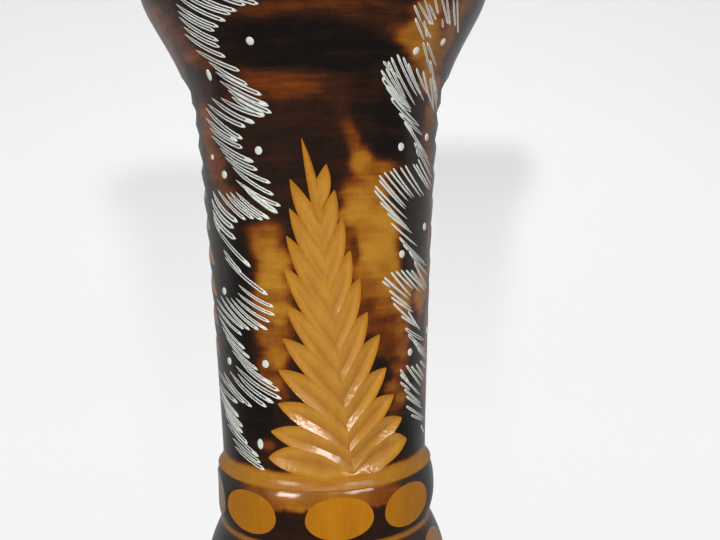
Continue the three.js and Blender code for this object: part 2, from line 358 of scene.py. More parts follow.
def trees(sizes):
    """Upright trees at the front and back, inverted ones at the two sides."""
    above_ridge, above_throat = 3.6 * mm, 13 * mm
    upright = RIDGE_Z + above_ridge
    inverted = RIDGE_Z + sizes.throat_height + above_throat
    return [
        Tree(0, upright),
        Tree(95, inverted, rise=-1, splay=12, breadth=1.15, stretch=1.05),
        Tree(BACK_DEGREES, upright),
        Tree(-88, inverted, rise=-1, hand=-1, splay=25, breadth=1.3, stretch=1.07),
    ]


def spine_across(up, sizes):
    """How far the spine leans aside at a height up the tree."""
    return sizes.foot_offset - up * math.tan(sizes.lean)


def leaf(side, u, reach, tree, sizes):
    """The leaf that starts a share u of the way up the tree."""
    right_droop = math.radians(3)
    spread_fall, rise_power = 2.26, 1.4
    top_loss, loss_power = 0.43, 5.7
    splay_loss, depth_loss, bow_fall = 0.004, 0.4, 3
    soft_start = 0.12
    upper, lower, lowest_lower = 2.6, 1.2, 1.7
    foot_blunt, blunt_loss = 5.0, 2.7
    top_angle = sizes.top_angle + math.radians(tree.splay)
    foot_angle = sizes.foot_angle + (right_droop if side > 0 else 0)
    up = sizes.spine * tree.stretch * u**rise_power
    shorter = 1 - splay_loss * tree.splay
    return Stroke(
        across=spine_across(up, sizes),
        up=up,
        heading=side * (top_angle + (foot_angle - top_angle) * (1 - u) ** spread_fall) - sizes.lean,
        reach=reach * shorter * (1 - top_loss * u**loss_power),
        depth=sizes.depth * (1 - depth_loss * u),
        bow=-side * max(1 - bow_fall * u, -1) * mm,
        upper=upper * tree.breadth,
        lower=(lowest_lower if u == 0 else lower) * tree.breadth,
        start=soft_start if u == 0 else 1.0,
        blunt=foot_blunt - blunt_loss * u,
        side=side,
    )


def crown_leaf(tree, sizes):
    """The single narrow leaf at the top of a tree."""
    narrow = 0.55
    aside = 0.8 * mm
    lean = math.radians(10)
    crown = leaf(-1, 1, sizes.top_reach, tree, sizes)
    return crown._replace(
        across=crown.across - aside,
        reach=sizes.top_reach,
        heading=-lean,
        bow=0.0,
        upper=crown.upper * narrow,
        lower=crown.lower * narrow,
    )


def gouge_depth(t, start, blunt):
    """Depth of a stroke as a share of its deepest: t is 0 at the spine and 1 at the tip."""
    entry, past_tip, flatness = 0.35, -0.02, 0.9
    if t >= 1:
        return past_tip
    settled = min(max(t, 0) / entry, 1)
    return (start + (1 - start) * settled) * (1 - max(t, 0) ** blunt) ** flatness


def gouge_body(stroke, tree, side, materials):
    """The wood that one gouge stroke takes away, bent round the vase."""
    clear = 1.2 * mm
    hollow = 0.05
    stations = [-0.25, -0.1, 0.0, *np.linspace(0.06, 0.9, 18), 0.93, 0.96, 0.98, 0.992, 1.0, 1.02]
    sine, cosine = math.sin(stroke.heading), math.cos(stroke.heading)

    def place(t, offset, lift):
        off = offset + stroke.bow * 4 * max(t, 0) * (1 - t)
        across = stroke.across + t * stroke.reach * sine + off * cosine
        up = stroke.up + t * stroke.reach * cosine - off * sine
        height = tree.foot + tree.rise * up
        azimuth = math.radians(tree.azimuth) + tree.hand * across / side.radius(height)
        return side.over(azimuth, height, lift)

    vertices = []
    for t in stations:
        depth = gouge_depth(t, stroke.start, stroke.blunt) * stroke.depth
        above = -stroke.side * stroke.upper
        below = stroke.side * stroke.lower
        sag = hollow * max(depth, 0)
        vertices += [
            place(t, above * (depth + clear), clear),
            place(t, above * depth / 2, -depth / 2 - sag),
            place(t, 0, -depth),
            place(t, below * depth / 2, -depth / 2 - sag),
            place(t, below * (depth + clear), clear),
        ]
    ring = 5
    faces = []
    for i in range(0, ring * (len(stations) - 1), ring):
        for j in range(ring):
            k = (j + 1) % ring
            faces += [(i + j, i + k, i + ring + k), (i + j, i + ring + k, i + ring + j)]
    last = len(vertices)
    faces += [tuple(range(ring - 1, -1, -1)), tuple(range(last - ring, last))]
    if stroke.side * tree.rise * tree.hand > 0:
        faces = [face[::-1] for face in faces]
    return cutter("gouge", vertices, faces, materials)


def cutter(name, vertices, faces, materials):
    """An object whose faces all leave bare wood behind."""
    piece = mesh_object(name, vertices, faces, materials)
    piece.data.polygons.foreach_set("material_index", [1] * len(piece.data.polygons))
    return piece


def spine_block(side_sign, tree, side, sizes, materials):
    """The space on one side of a tree's spine, a hair past it so that no fin is left."""
    overlap = 0.04 * mm

    def spine_point(up):
        height = tree.foot + tree.rise * up
        across = spine_across(up, sizes)
        azimuth = math.radians(tree.azimuth) + tree.hand * across / side.radius(height)
        return side.over(azimuth, height, 0)

    spine = sizes.spine * tree.stretch
    middle = spine_point(spine / 2)
    along = (spine_point(spine) - spine_point(0)).normalized()
    aside = Vector((middle.x, middle.y, 0)).cross(along).normalized()
    outward = along.cross(aside)
    near = side_sign * tree.rise * tree.hand * overlap
    far = -side_sign * tree.rise * tree.hand * 2 * sizes.spine
    low, high = sorted((near, far))
    half = sizes.spine
    corners = [
        middle + aside * a + outward * b + along * c
        for a in (low, high)
        for b in (-half, half)
        for c in (-half, half)
    ]
    faces = [(0, 1, 3, 2), (4, 6, 7, 5), (0, 4, 5, 1), (2, 3, 7, 6), (0, 2, 6, 4), (1, 5, 7, 3)]
    return cutter("spine_block", corners, faces, materials)


def combine(target, tool, operation):
    """Joins, cuts or intersects target with tool, which is used up."""
    modifier = target.modifiers.new("combine", "BOOLEAN")
    modifier.operation = operation
    modifier.solver = "MANIFOLD"
    modifier.object = tool
    keep_result(target)
    bpy.data.objects.remove(tool)
    return target


def keep_result(piece):
    """Swaps a piece's mesh for what its modifiers make of it, and removes them."""
    shaped = piece.evaluated_get(bpy.context.evaluated_depsgraph_get())
    mesh = bpy.data.meshes.new_from_object(shaped)
    piece.modifiers.clear()
    old = piece.data
    piece.data = mesh
    bpy.data.meshes.remove(old)


def half_tree(side_sign, extras, reach, tree, side, sizes, materials):
    """The wood taken out of one side of a tree: its strokes stop at the spine."""
    strokes = [
        leaf(side_sign, i / sizes.pairs, reach + extra, tree, sizes)
        for i, extra in enumerate(extras)
    ]
    first, *rest = [gouge_body(stroke, tree, side, materials) for stroke in strokes]
    for body in rest:
        combine(first, body, "UNION")
    block = spine_block(side_sign, tree, side, sizes, materials)
    return combine(first, block, "INTERSECT")


def carve_trees(piece, side, sizes, turning, materials):
    """Cuts every leaf tree into the piece."""
    for tree in trees(turning):
        left = half_tree(-1, LONG_LEAVES, sizes.reach, tree, side, sizes, materials)
        combine(piece, left, "DIFFERENCE")
        right = half_tree(1, SHORT_LEAVES, sizes.short_reach, tree, side, sizes, materials)
        combine(piece, right, "DIFFERENCE")
        crown = crown_leaf(tree, sizes)
        combine(piece, gouge_body(crown, tree, side, materials), "DIFFERENCE")


def scoop_ovals(piece, radius, height, lean, depth, first, sizes, materials):
    """Scoops oval facets round a bead with the side of a wide level drum."""
    sides = 176
    uneven = 4.4
    for i in range(sizes.count):
        azimuth = first + 2 * math.pi / sizes.count * i + sizes.wander * math.sin(uneven * i)
        place = (
            Matrix.Rotation(azimuth, 4, "Z")
            @ Matrix.Translation((0, depth - radius, height))
            @ Matrix.Rotation(-lean, 4, "X")
            @ Matrix.Translation((0, -sizes.sweep, 0))
        )
        turns = [2 * math.pi * (j + 0.5) / sides for j in range(sides)]
        ends = [
            place @ Vector((x, sizes.sweep * math.cos(a), sizes.sweep * math.sin(a)))
            for x in (-radius / 2, radius / 2)
            for a in turns
        ]
        faces = [tuple(range(sides - 1, -1, -1)), tuple(range(sides, 2 * sides))]
        faces += [(j, (j + 1) % sides, sides + (j + 1) % sides, sides + j) for j in range(sides)]
        combine(piece, cutter("drum", ends, faces, materials), "DIFFERENCE")


def rub_cove(piece, sizes):
    """Gives the burnt faces of the cove their thinner lacquer."""
    burnt, rubbed = 0, 2
    inner = sizes.waist - 0.5 * mm
    for face in piece.data.polygons:
        x, y, z = face.center
        in_cove = math.hypot(x, y) > inner and RIDGE_Z < z < RIDGE_Z + sizes.flange
        if in_cove and face.material_index == burnt:
            face.material_index = rubbed


def finish_edges(piece, sharp=math.radians(24)):
    """Smooth faces with crisp edges where the gouge cut."""
    mesh = piece.data
    mesh.polygons.foreach_set("use_smooth", [True] * len(mesh.polygons))
    mesh.set_sharp_from_angle(angle=sharp)
    mesh.update()


# Reading places off the photograph


def camera_axes():
    """Sight line, right and up of the photograph's camera."""
    sight = Vector((0, math.cos(CAMERA_PITCH), -math.sin(CAMERA_PITCH)))
    upright = Vector((0, math.sin(CAMERA_PITCH), math.cos(CAMERA_PITCH)))
    level = Vector((1, 0, 0))
    right = level * math.cos(CAMERA_ROLL) + upright * math.sin(CAMERA_ROLL)
    up = upright * math.cos(CAMERA_ROLL) - level * math.sin(CAMERA_ROLL)
    return sight, right, up


def place_on_side(pixels, side):
    """Azimuth and height where the camera sees each pixel on the side as it was turned."""
    sight, right, up = (np.array(axis) for axis in camera_axes())
    pixels = np.asarray(pixels, float)
    across = (pixels[:, :1] - PHOTO_WIDTH / 2) / FOCAL_PIXELS
    down = (pixels[:, 1:] - PHOTO_HEIGHT / 2) / FOCAL_PIXELS
    rays = sight + across * right - down * up
    near, far, step = 210, 330, 0.1
    distances = np.arange(near, far, step) * mm
    track = np.array(CAMERA_PLACE) + distances[None, :, None] * rays[:, None, :]
    radii = np.interp(track[..., 2], side.heights, side.radii)
    clearance = np.hypot(track[..., 0], track[..., 1]) - radii
    inside = clearance < 0
    first = np.where(inside.any(axis=1), inside.argmax(axis=1), clearance.argmin(axis=1))
    hits = track[np.arange(len(pixels)), first]
    return np.arctan2(hits[:, 0], -hits[:, 1]), hits[:, 2]


# Scorching, with painted sheen and painted shade among the patches


class ScorchSheenShade(NamedTuple):
    """A patch at a pixel of the photograph and how dark it is: mostly left by the flame, a few of
    them painted sheen and one painted shade.
    """

    x: float
    y: float
    wide: float
    high: float
    shade: float


def body_scorch_sheen_and_shade():
    """Patches of scorch, painted sheen and painted shade, in the order that they cover each other:
    0 is bare gold and 1 is black.
    """
    # Painted sheen: the pale patches along the body's left and right edges, near x 160 and 206 on
    # the left and x 421 to 455 on the right, stand partly for the lacquer's sheen seen edge-on.
    # Painted shade: the thin dark patch at x 354, y 250, beside a leaf.
    rows = (
        (370, 256, 8.5, 22, 0.42), (380, 325, 7, 13, 0.55), (270, 304, 7, 21, 0.42),
        (262, 9, 10, 2, 0.66), (370, 12, 17, 4, 0.68), (392, 35, 6, 2.2, 0.42),
        (320, 2, 10, 1.4, 0.60), (245, 92, 9, 3, 0.62), (285, 74, 14, 1.9, 0.50),
        (300, 86, 11, 1.9, 0.56), (276, 96, 10, 1.7, 0.58), (340, 88, 5, 4, 0.72),
        (255, 82, 8, 1.2, 0.54), (205, 62, 6, 3, 0.60), (188, 56, 5, 2.2, 0.46),
        (176, 30, 6, 6, 0.62), (160, 30, 8, 14, 0.50), (206, 85, 5, 5, 0.74),
        (330, 48, 24, 5.5, 0.97), (290, 38, 18, 5, 0.98), (375, 62, 9, 4, 0.96),
        (376, 112, 8, 12, 0.88), (395, 130, 7, 9, 0.97), (280, 130, 12, 6, 0.84),
        (336, 104, 1.5, 3.2, 0.80), (341, 117, 1.5, 3.6, 0.74), (346, 131, 1.6, 3.8, 0.64),
        (351, 144, 2.2, 3.6, 0.50), (430, 12, 6, 7, 0.32), (424, 42, 6, 6, 0.24),
        (432, 66, 5, 7, 0.20), (434, 92, 4, 6, 0.28), (430, 118, 3.5, 5, 0.42),
        (410, 37, 5, 2.2, 0.30), (455, 22, 6, 12, 0.46), (448, 63, 3, 3, 0.72),
        (428, 140, 4, 6, 0.58), (430, 172, 3, 7, 0.48), (216, 168, 6, 6, 0.52),
        (226, 196, 6, 4, 0.56), (206, 128, 5, 9, 0.50), (358, 160, 3.4, 3.6, 0.30),
        (366, 174, 4.5, 4, 0.26), (384, 168, 6, 2.6, 0.40), (352, 190, 4, 4, 0.42),
        (374, 192, 6, 3.6, 0.28), (360, 212, 5, 3.6, 0.16), (380, 222, 5, 4, 0.12),
        (366, 238, 4.3, 3.6, 0.24), (386, 244, 4.7, 5, 0.08), (392, 262, 3.6, 4, 0.16),
        (372, 262, 4.3, 4, 0.14), (354, 250, 1.3, 4, 0.62), (368, 286, 3.6, 3.6, 0.42),
        (388, 282, 4.3, 4.5, 0.26), (386, 304, 4.3, 3, 0.38), (370, 312, 2.9, 3.6, 0.56),
        (404, 300, 3.6, 6, 0.28), (378, 330, 3.6, 3.6, 0.60), (400, 326, 4.3, 4, 0.42),
        (386, 346, 3.6, 3, 0.62), (404, 348, 3.6, 4, 0.42), (368, 350, 2.4, 3.6, 0.93),
        (379, 370, 2.4, 3.6, 0.93), (398, 368, 3.6, 3, 0.52), (394, 386, 3.6, 2.4, 0.40),
        (402, 398, 2.9, 3, 0.36), (396, 412, 2.9, 2.6, 0.62), (404, 432, 8, 5, 0.96),
        (416, 214, 4, 9, 0.93), (430, 226, 3, 12, 0.52), (421, 292, 5, 8, 0.26),
        (426, 330, 3, 8, 0.36), (424, 372, 4, 8, 0.44), (262, 234, 5, 2.6, 0.46),
        (262, 248, 5, 3, 0.28), (274, 264, 5, 4, 0.16), (270, 284, 4.3, 4, 0.14),
        (266, 300, 4.3, 3, 0.38), (276, 314, 3.6, 3, 0.18), (264, 328, 3.6, 3, 0.52),
        (272, 338, 3.6, 2.6, 0.38), (276, 356, 3.6, 3, 0.26), (266, 374, 3.6, 3.6, 0.50),
        (276, 386, 2.9, 2.6, 0.44), (282, 398, 2.2, 2.4, 0.62), (233, 285, 7.5, 16, 0.97),
        (240, 350, 5.5, 9, 0.96), (244, 415, 11, 9, 0.98), (264, 446, 3.6, 2, 0.58),
    )
    return [ScorchSheenShade(*row) for row in rows]


def smooth_step(low, high, values):
    """0 below low, 1 above high and a smooth rise between them."""
    share = np.clip((values - low) / (high - low), 0, 1)
    return share * share * (3 - 2 * share)


def toward(shade, level, weight):
    """Shade moved towards a level by a weight between 0 and 1."""
    return shade + (level - shade) * weight


def noise_at(points, scale, stretch, seed):
    """Smooth noise between about -1 and 1 at each point, stretched up the grain."""
    offset = Vector((seed * 7.3, seed * 3.1, seed * 11.7))
    return np.array(
        [
            noise.noise(Vector((x / scale, y / scale, z / (scale * stretch))) + offset)
            for x, y, z in points
        ]
    )


def mesh_points(piece):
    """Vertex places as an array."""
    points = np.empty(len(piece.data.vertices) * 3)
    piece.data.vertices.foreach_get("co", points)
    return points.reshape(-1, 3)


def store(piece, name, values):
    """Keeps one number for each vertex, which the materials read."""
    attribute = piece.data.attributes.new(name, "FLOAT", "POINT")
    attribute.data.foreach_set("value", np.asarray(values, np.float32))


def scorch_and_sheen_body(piece, side, sizes):
    """Char of the body: patches of the flame over a dark ground, front and back alike, among them
    painted sheen along its edges and painted shade beside a leaf.
    """
    ground, cove_level, head_level, inside_level = 0.88, 0.2, 0.8, 0.6
    cove_low, cove_high, head_fade = 3.6 * mm, 5.6 * mm, 4 * mm
    core, fringe = 0.4, 1.5
    mouth_margin, throat_margin = 0.2 * mm, 9 * mm
    deepest = 2.1 * mm
    points = mesh_points(piece)
    radius = np.hypot(points[:, 0], points[:, 1])
    azimuth = np.arctan2(points[:, 0], -points[:, 1])
    height = points[:, 2]
    coarse = noise_at(points, scale=9 * mm, stretch=1.0, seed=1)
    fine = noise_at(points, scale=3.4 * mm, stretch=0.45, seed=2)
    lift = noise_at(points, scale=12 * mm, stretch=0.5, seed=3)
    streak = noise_at(points, scale=13 * mm, stretch=0.17, seed=9)
    shade = ground + 0.07 * coarse
    # These patches include painted sheen along the edges and painted shade beside a leaf.
    patches = body_scorch_sheen_and_shade()
    centres, heights = place_on_side([(p.x, p.y) for p in patches], side)
    for turn in (0, math.pi):
        for patch, centre, middle in zip(patches, centres, heights):
            apart = np.angle(np.exp(1j * (azimuth - centre - turn)))
            aside = (apart * side.radius(middle) + 2.0 * mm * lift) / (patch.wide * mm)
            above = (height - middle + 0.8 * mm * coarse) / (patch.high * mm)
            reach = np.hypot(aside, above) + 0.16 * fine + 0.08 * streak
            shade = toward(shade, patch.shade, 1 - smooth_step(core, fringe, reach))
    shade += 0.08 * streak + 0.04 * fine
    level = height + 0.5 * mm * fine - RIDGE_Z
    shade = toward(shade, cove_level + 0.06 * coarse, 1 - smooth_step(cove_low, cove_high, level))
    level = height - (TOP_Z - sizes.head_drop)
    shade = toward(shade, head_level + 0.12 * coarse, smooth_step(0, head_fade, level))
    inner = radius < sizes.mouth + mouth_margin
    inner &= (level > 0) | (radius < sizes.bore + throat_margin)
    inner &= height > RIDGE_Z + sizes.flange
    shade = np.where(inner, inside_level + 0.15 * coarse, shade)
    depth = np.interp(height, side.heights, side.radii) - radius
    store_looks(piece, shade, depth / deepest)


def store_looks(piece, char, cut_depth):
    """Keeps how charred and how deeply cut each vertex is."""
    store(piece, "char", np.clip(char, 0, 1))
    store(piece, "cut_depth", np.clip(cut_depth, 0, 1))


def scorch_ring(piece):
    """Colour of the collar: a bright line at the ridge, brown below it, and darker towards its left
    and right sides.
    """
    ground, upper_level, side_level, ridge_level, foot_level = 0.86, 0.38, 0.95, 0.2, 0.35
    points = mesh_points(piece)
    level = (points[:, 2] - FOOT_TOP_Z) / (RIDGE_Z - FOOT_TOP_Z)
    aside = np.abs(points[:, 0]) / np.hypot(points[:, 0], points[:, 1])
    coarse = noise_at(points, scale=7 * mm, stretch=1.0, seed=4)
    fine = noise_at(points, scale=1.2 * mm, stretch=4.0, seed=5)
    upper = smooth_step(0.6, 0.72, level + 0.03 * coarse + 0.05 * fine)
    shade = toward(ground + 0.06 * coarse, upper_level + 0.16 * coarse, upper)
    # Darker towards the left and right sides, a quarter turn from the front and the back.
    shade = toward(shade, side_level, smooth_step(0.5, 0.85, aside + 0.1 * coarse))
    shade = toward(shade, ridge_level, smooth_step(0.955, 0.985, level))
    shade = toward(shade, foot_level, 1 - smooth_step(0.02, 0.07, level))
    store_looks(piece, shade, np.zeros(len(points)))


def scorch_foot(piece, sizes):
    """Char of the foot: dark bead, bright groove and tongues of flame down the skirt."""
    ground, bright, flame_level, palest = 0.84, 0.3, 0.58, 0.18
    edge_low, edge_high = 1.6 * mm, 0.6 * mm
    groove_width, skirt_fade = 1.4 * mm, 2 * mm
    points = mesh_points(piece)
    height = points[:, 2]
    coarse = noise_at(points, scale=10 * mm, stretch=3.0, seed=6)
    fine = noise_at(points, scale=3.4 * mm, stretch=0.45, seed=7)
    streak = noise_at(points, scale=13 * mm, stretch=0.17, seed=10)
    groove = FOOT_TOP_Z - sizes.foot_bead
    top = smooth_step(FOOT_TOP_Z - edge_low, FOOT_TOP_Z - edge_high, height)
    shade = toward(ground + 0.1 * coarse, bright, top)
    shade = toward(shade, bright, np.exp(-(((height - groove) / groove_width) ** 2)))
    flame = flame_level + 0.75 * coarse + 0.1 * fine + 0.14 * streak
    skirt = 1 - smooth_step(groove - skirt_fade, groove, height)
    shade = toward(shade, np.clip(flame, palest, 1), skirt)
    store_looks(piece, shade, np.zeros(len(points)))


def scorch_plain(piece, level):
    """An even char with a little variation."""
    points = mesh_points(piece)
    varied = level + 0.12 * noise_at(points, scale=8 * mm, stretch=1.0, seed=8)
    store_looks(piece, varied, np.zeros(len(points)))


# Materials


class Graph:
    """Adds nodes to a tree and joins them, left to right."""

    def __init__(self, tree):
        self.tree = tree
        self.column = 0

    def add(self, kind, inputs=None, **settings):
        """A node with its settings, and values or links for its inputs."""
        node = self.tree.nodes.new(kind)
        node.location = (self.column, 0)
        self.column += 180
        for name, value in settings.items():
            setattr(node, name, value)
        for key, value in (inputs or {}).items():
            if isinstance(value, bpy.types.NodeSocket):
                self.tree.links.new(value, node.inputs[key])
            else:
                node.inputs[key].default_value = value
        return node

    def out(self, kind, inputs=None, **settings):
        """The first output of a new node."""
        return self.add(kind, inputs, **settings).outputs[0]

    def place(self):
        """The object's own coordinates."""
        return self.add("ShaderNodeTexCoord").outputs["Object"]

    def stored(self, name):
        """A number that is kept on the vertices, for a material."""
        return self.add("ShaderNodeAttribute", attribute_name=name).outputs["Fac"]

    def named(self, name, kind="FLOAT"):
        """What is kept on the points, for geometry nodes."""
        node = self.add("GeometryNodeInputNamedAttribute", {"Name": name}, data_type=kind)
        return node.outputs["Attribute"]

    def math(self, operation, *values, clamp=False):
        """The result of a sum on numbers or sockets."""
        inputs = dict(enumerate(values))
        return self.out("ShaderNodeMath", inputs, operation=operation, use_clamp=clamp)

    def grain(self, place, scale, detail=2.0, roughness=0.5):
        """Noise at the place, stretched by scale, around 0.5."""
        mapped = self.out("ShaderNodeMapping", {"Vector": place, "Scale": scale})
        inputs = {"Vector": mapped, "Scale": 1.0, "Detail": detail, "Roughness": roughness}
        return self.add("ShaderNodeTexNoise", inputs).outputs["Fac"]

    def shift(self, base, grain, amount, clamp=False):
        """Base moved up and down by a grain."""
        centred = self.math("SUBTRACT", grain, 0.5)
        return self.math("MULTIPLY_ADD", centred, amount, base, clamp=clamp)

    def fit(self, value, low, high, first, last, interpolation="SMOOTHSTEP"):
        """First where the value is low, last where it is high, and a rise between them."""
        inputs = {"From Min": low, "From Max": high, "To Min": first, "To Max": last}
        inputs["Value"] = value
        return self.out("ShaderNodeMapRange", inputs, interpolation_type=interpolation)

    def blend(self, factor, first, second):
        """Colour between first and second."""
        inputs = {0: factor, 6: first, 7: second}
        return self.add("ShaderNodeMix", inputs, data_type="RGBA").outputs[2]

    def mix(self, factor, first, second):
        """Shader between first and second."""
        return self.out("ShaderNodeMixShader", {0: factor, 1: first, 2: second})

    def shine(self, kind, tint, strength):
        """An even light of a kind that ends in Background or Emission."""
        return self.out(kind, {"Color": tint, "Strength": strength})


def new_material(name):
    """An empty material and its graph."""
    material = bpy.data.materials.new(name)
    material.use_nodes = True
    material.node_tree.nodes.clear()
    return material, Graph(material.node_tree)


def finish_material(graph, tint, roughness, height, coat, coat_roughness, bump):
    """Closes a lacquered or enamelled material."""
    bumps = {"Strength": 1.0, "Distance": bump, "Height": height}
    normal = graph.out("ShaderNodeBump", bumps)
    inputs = {
        "Base Color": tint,
        "Roughness": roughness,
        "Specular IOR Level": 0.15,
        "Coat Weight": coat,
        "Coat Roughness": coat_roughness,
        "Normal": normal,
        "Coat Normal": normal,
    }
    shader = graph.out("ShaderNodeBsdfPrincipled", inputs)
    graph.add("ShaderNodeOutputMaterial", {"Surface": shader})


def flamed_wood(look, name="flamed_wood", coat=0.85):
    """Wood burnt by a flame in streaks, under clear lacquer."""
    gold_stop, char_stop = 0.1, 0.97
    material, graph = new_material(name)
    place = graph.place()
    fibre = graph.grain(place, (2600, 2600, 130), detail=3.0, roughness=0.6)
    band = graph.grain(place, (55, 55, 900), detail=3.0, roughness=0.6)
    lines = graph.grain(place, (140, 140, 4200))
    blotch = graph.grain(place, (230, 230, 330), detail=3.0, roughness=0.6)
    ripple = graph.grain(place, (160, 160, 110), detail=1.0)
    shade = graph.stored("char")
    for grain, amount in ((fibre, 0.16), (band, 0.22), (lines, 0.1), (blotch, 0.22)):
        shade = graph.shift(shade, grain, amount)
    ramp = graph.add("ShaderNodeValToRGB", {"Fac": shade})
    stops = ramp.color_ramp.elements
    stops[0].position, stops[0].color = gold_stop, look.gold
    stops[1].position, stops[1].color = char_stop, look.char
    for position, tint in ((0.3, look.ochre), (0.52, look.chestnut), (0.72, look.umber)):
        stops.new(position).color = tint
    height = graph.math("MULTIPLY_ADD", fibre, 0.12, ripple)
    height = graph.math("MULTIPLY_ADD", lines, 0.3, height)
    roughness = graph.math("MULTIPLY_ADD", blotch, 0.2, 0.22)
    finish_material(
        graph, ramp.outputs[0], roughness, height, coat, coat_roughness=0.07, bump=0.1 * mm
    )
    return material


def rubbed_wood(look):
    """The same burnt wood where the lacquer is rubbed thin, in the cove."""
    return flamed_wood(look, "rubbed_wood", coat=0.2)


def gouged_wood(look):
    """Bare wood where the gouge went through the burnt skin, under clear lacquer, with painted
    shade darkening the valleys of the cuts.
    """
    grey_share, streak_share = 0.3, 0.55
    material, graph = new_material("gouged_wood")
    place = graph.place()
    depth = graph.stored("cut_depth")
    fibre = graph.grain(place, (3000, 3000, 150), detail=3.0, roughness=0.65)
    patch = graph.grain(place, (300, 300, 90))
    pool = graph.grain(place, (900, 900, 500))
    facet = graph.blend(graph.math("MULTIPLY", depth, 3.0, clamp=True), look.oval, look.facet)
    # Painted shade: the deeper the cut, the more it turns to ochre, darkening the valleys.
    valley_shade = graph.fit(depth, low=0.3, high=0.95, first=0.0, last=0.55)
    facet = graph.blend(valley_shade, facet, look.ochre)
    share = graph.shift(grey_share, fibre, 0.9)
    share = graph.shift(share, patch, 0.9, clamp=True)
    shaded = graph.blend(share, facet, look.chestnut)
    tint = graph.blend(streak_share, facet, shaded)
    height = graph.math("MULTIPLY_ADD", fibre, 0.3, pool)
    finish_material(
        graph, tint, roughness=0.3, height=height, coat=0.9, coat_roughness=0.06, bump=0.09 * mm
    )
    return material


def thick_enamel(look):
    """White enamel that stands proud of the wood, greyer where it runs thin."""
    material, graph = new_material("thick_enamel")
    cloud = graph.grain(graph.place(), (900, 900, 900))
    cover = graph.math("MULTIPLY", graph.stored("cover"), 1.2)
    cover = graph.shift(cover, cloud, 0.7, clamp=True)
    tint = graph.blend(cover, look.thin_enamel, look.enamel)
    finish_material(
        graph, tint, roughness=0.3, height=cloud, coat=0.6, coat_roughness=0.1, bump=0.02 * mm
    )
    return material


def stage_surface(name, look):
    """Plain pale paper, brighter to the camera than the lamps leave it, dim towards the front."""
    cloudy, glow_strength = 0.96, 1.26
    bounce_grey = (0.4, 0.4, 0.4, 1.0)
    material, graph = new_material(name)
    place = graph.place()
    cloud = graph.grain(place, (3, 3, 3), detail=1.0)
    darker = (*(channel * cloudy for channel in look.backdrop[:3]), 1.0)
    paper = graph.blend(cloud, look.backdrop, darker)
    paper = graph.out("ShaderNodeBsdfDiffuse", {"Color": paper})
    grey = graph.out("ShaderNodeBsdfDiffuse", {"Color": bounce_grey})
    glow = graph.shine("ShaderNodeEmission", look.backdrop, glow_strength)
    axes = graph.add("ShaderNodeSeparateXYZ", {"Vector": place}).outputs
    behind = graph.fit(axes["Y"], low=-0.1, high=0.35, first=0.08, last=0.4)
    sheen = graph.shine("ShaderNodeEmission", look.backdrop, behind)
    floor = {"low": 0.0, "high": 0.25, "first": 0.9, "last": 0.04}
    near_floor = graph.fit(axes["Z"], **floor, interpolation="LINEAR")
    rays = graph.add("ShaderNodeLightPath").outputs
    seen = graph.math("MULTIPLY", rays["Is Camera Ray"], near_floor)
    mirrored = graph.math("MAXIMUM", rays["Is Glossy Ray"], rays["Is Transmission Ray"])
    surface = graph.mix(seen, paper, glow)
    surface = graph.mix(rays["Is Diffuse Ray"], surface, grey)
    surface = graph.mix(mirrored, surface, sheen)
    graph.add("ShaderNodeOutputMaterial", {"Surface": surface})
    return material


def material_of(scene, name, maker):
    """The material of this name, made when it is first asked for."""
    return bpy.data.materials.get(name) or maker(scene.vase_wood)


def woods(scene):
    """Burnt wood first, then bare and rubbed wood, as the pieces number them."""
    return [
        material_of(scene, "flamed_wood", flamed_wood),
        material_of(scene, "gouged_wood", gouged_wood),
        material_of(scene, "rubbed_wood", rubbed_wood),
    ]


# Painted lines and dots


class Brush(NamedTuple):
    """One stroke of the paint pen, from its thin tail to its thick tip, in pixels."""

    tail_x: float
    tail_y: float
    tip_x: float
    tip_y: float


class Spray(NamedTuple):
    """A row of strokes of one kind."""

    strokes: tuple
    gap: float = 1.0
    weight: float = 1.0
    sag: float = 0.05


def spray(*rows, **settings):
    """A spray whose strokes are given as rows: tail x, tail y, tip x and tip y."""
    return Spray(tuple(Brush(*row) for row in rows), **settings)


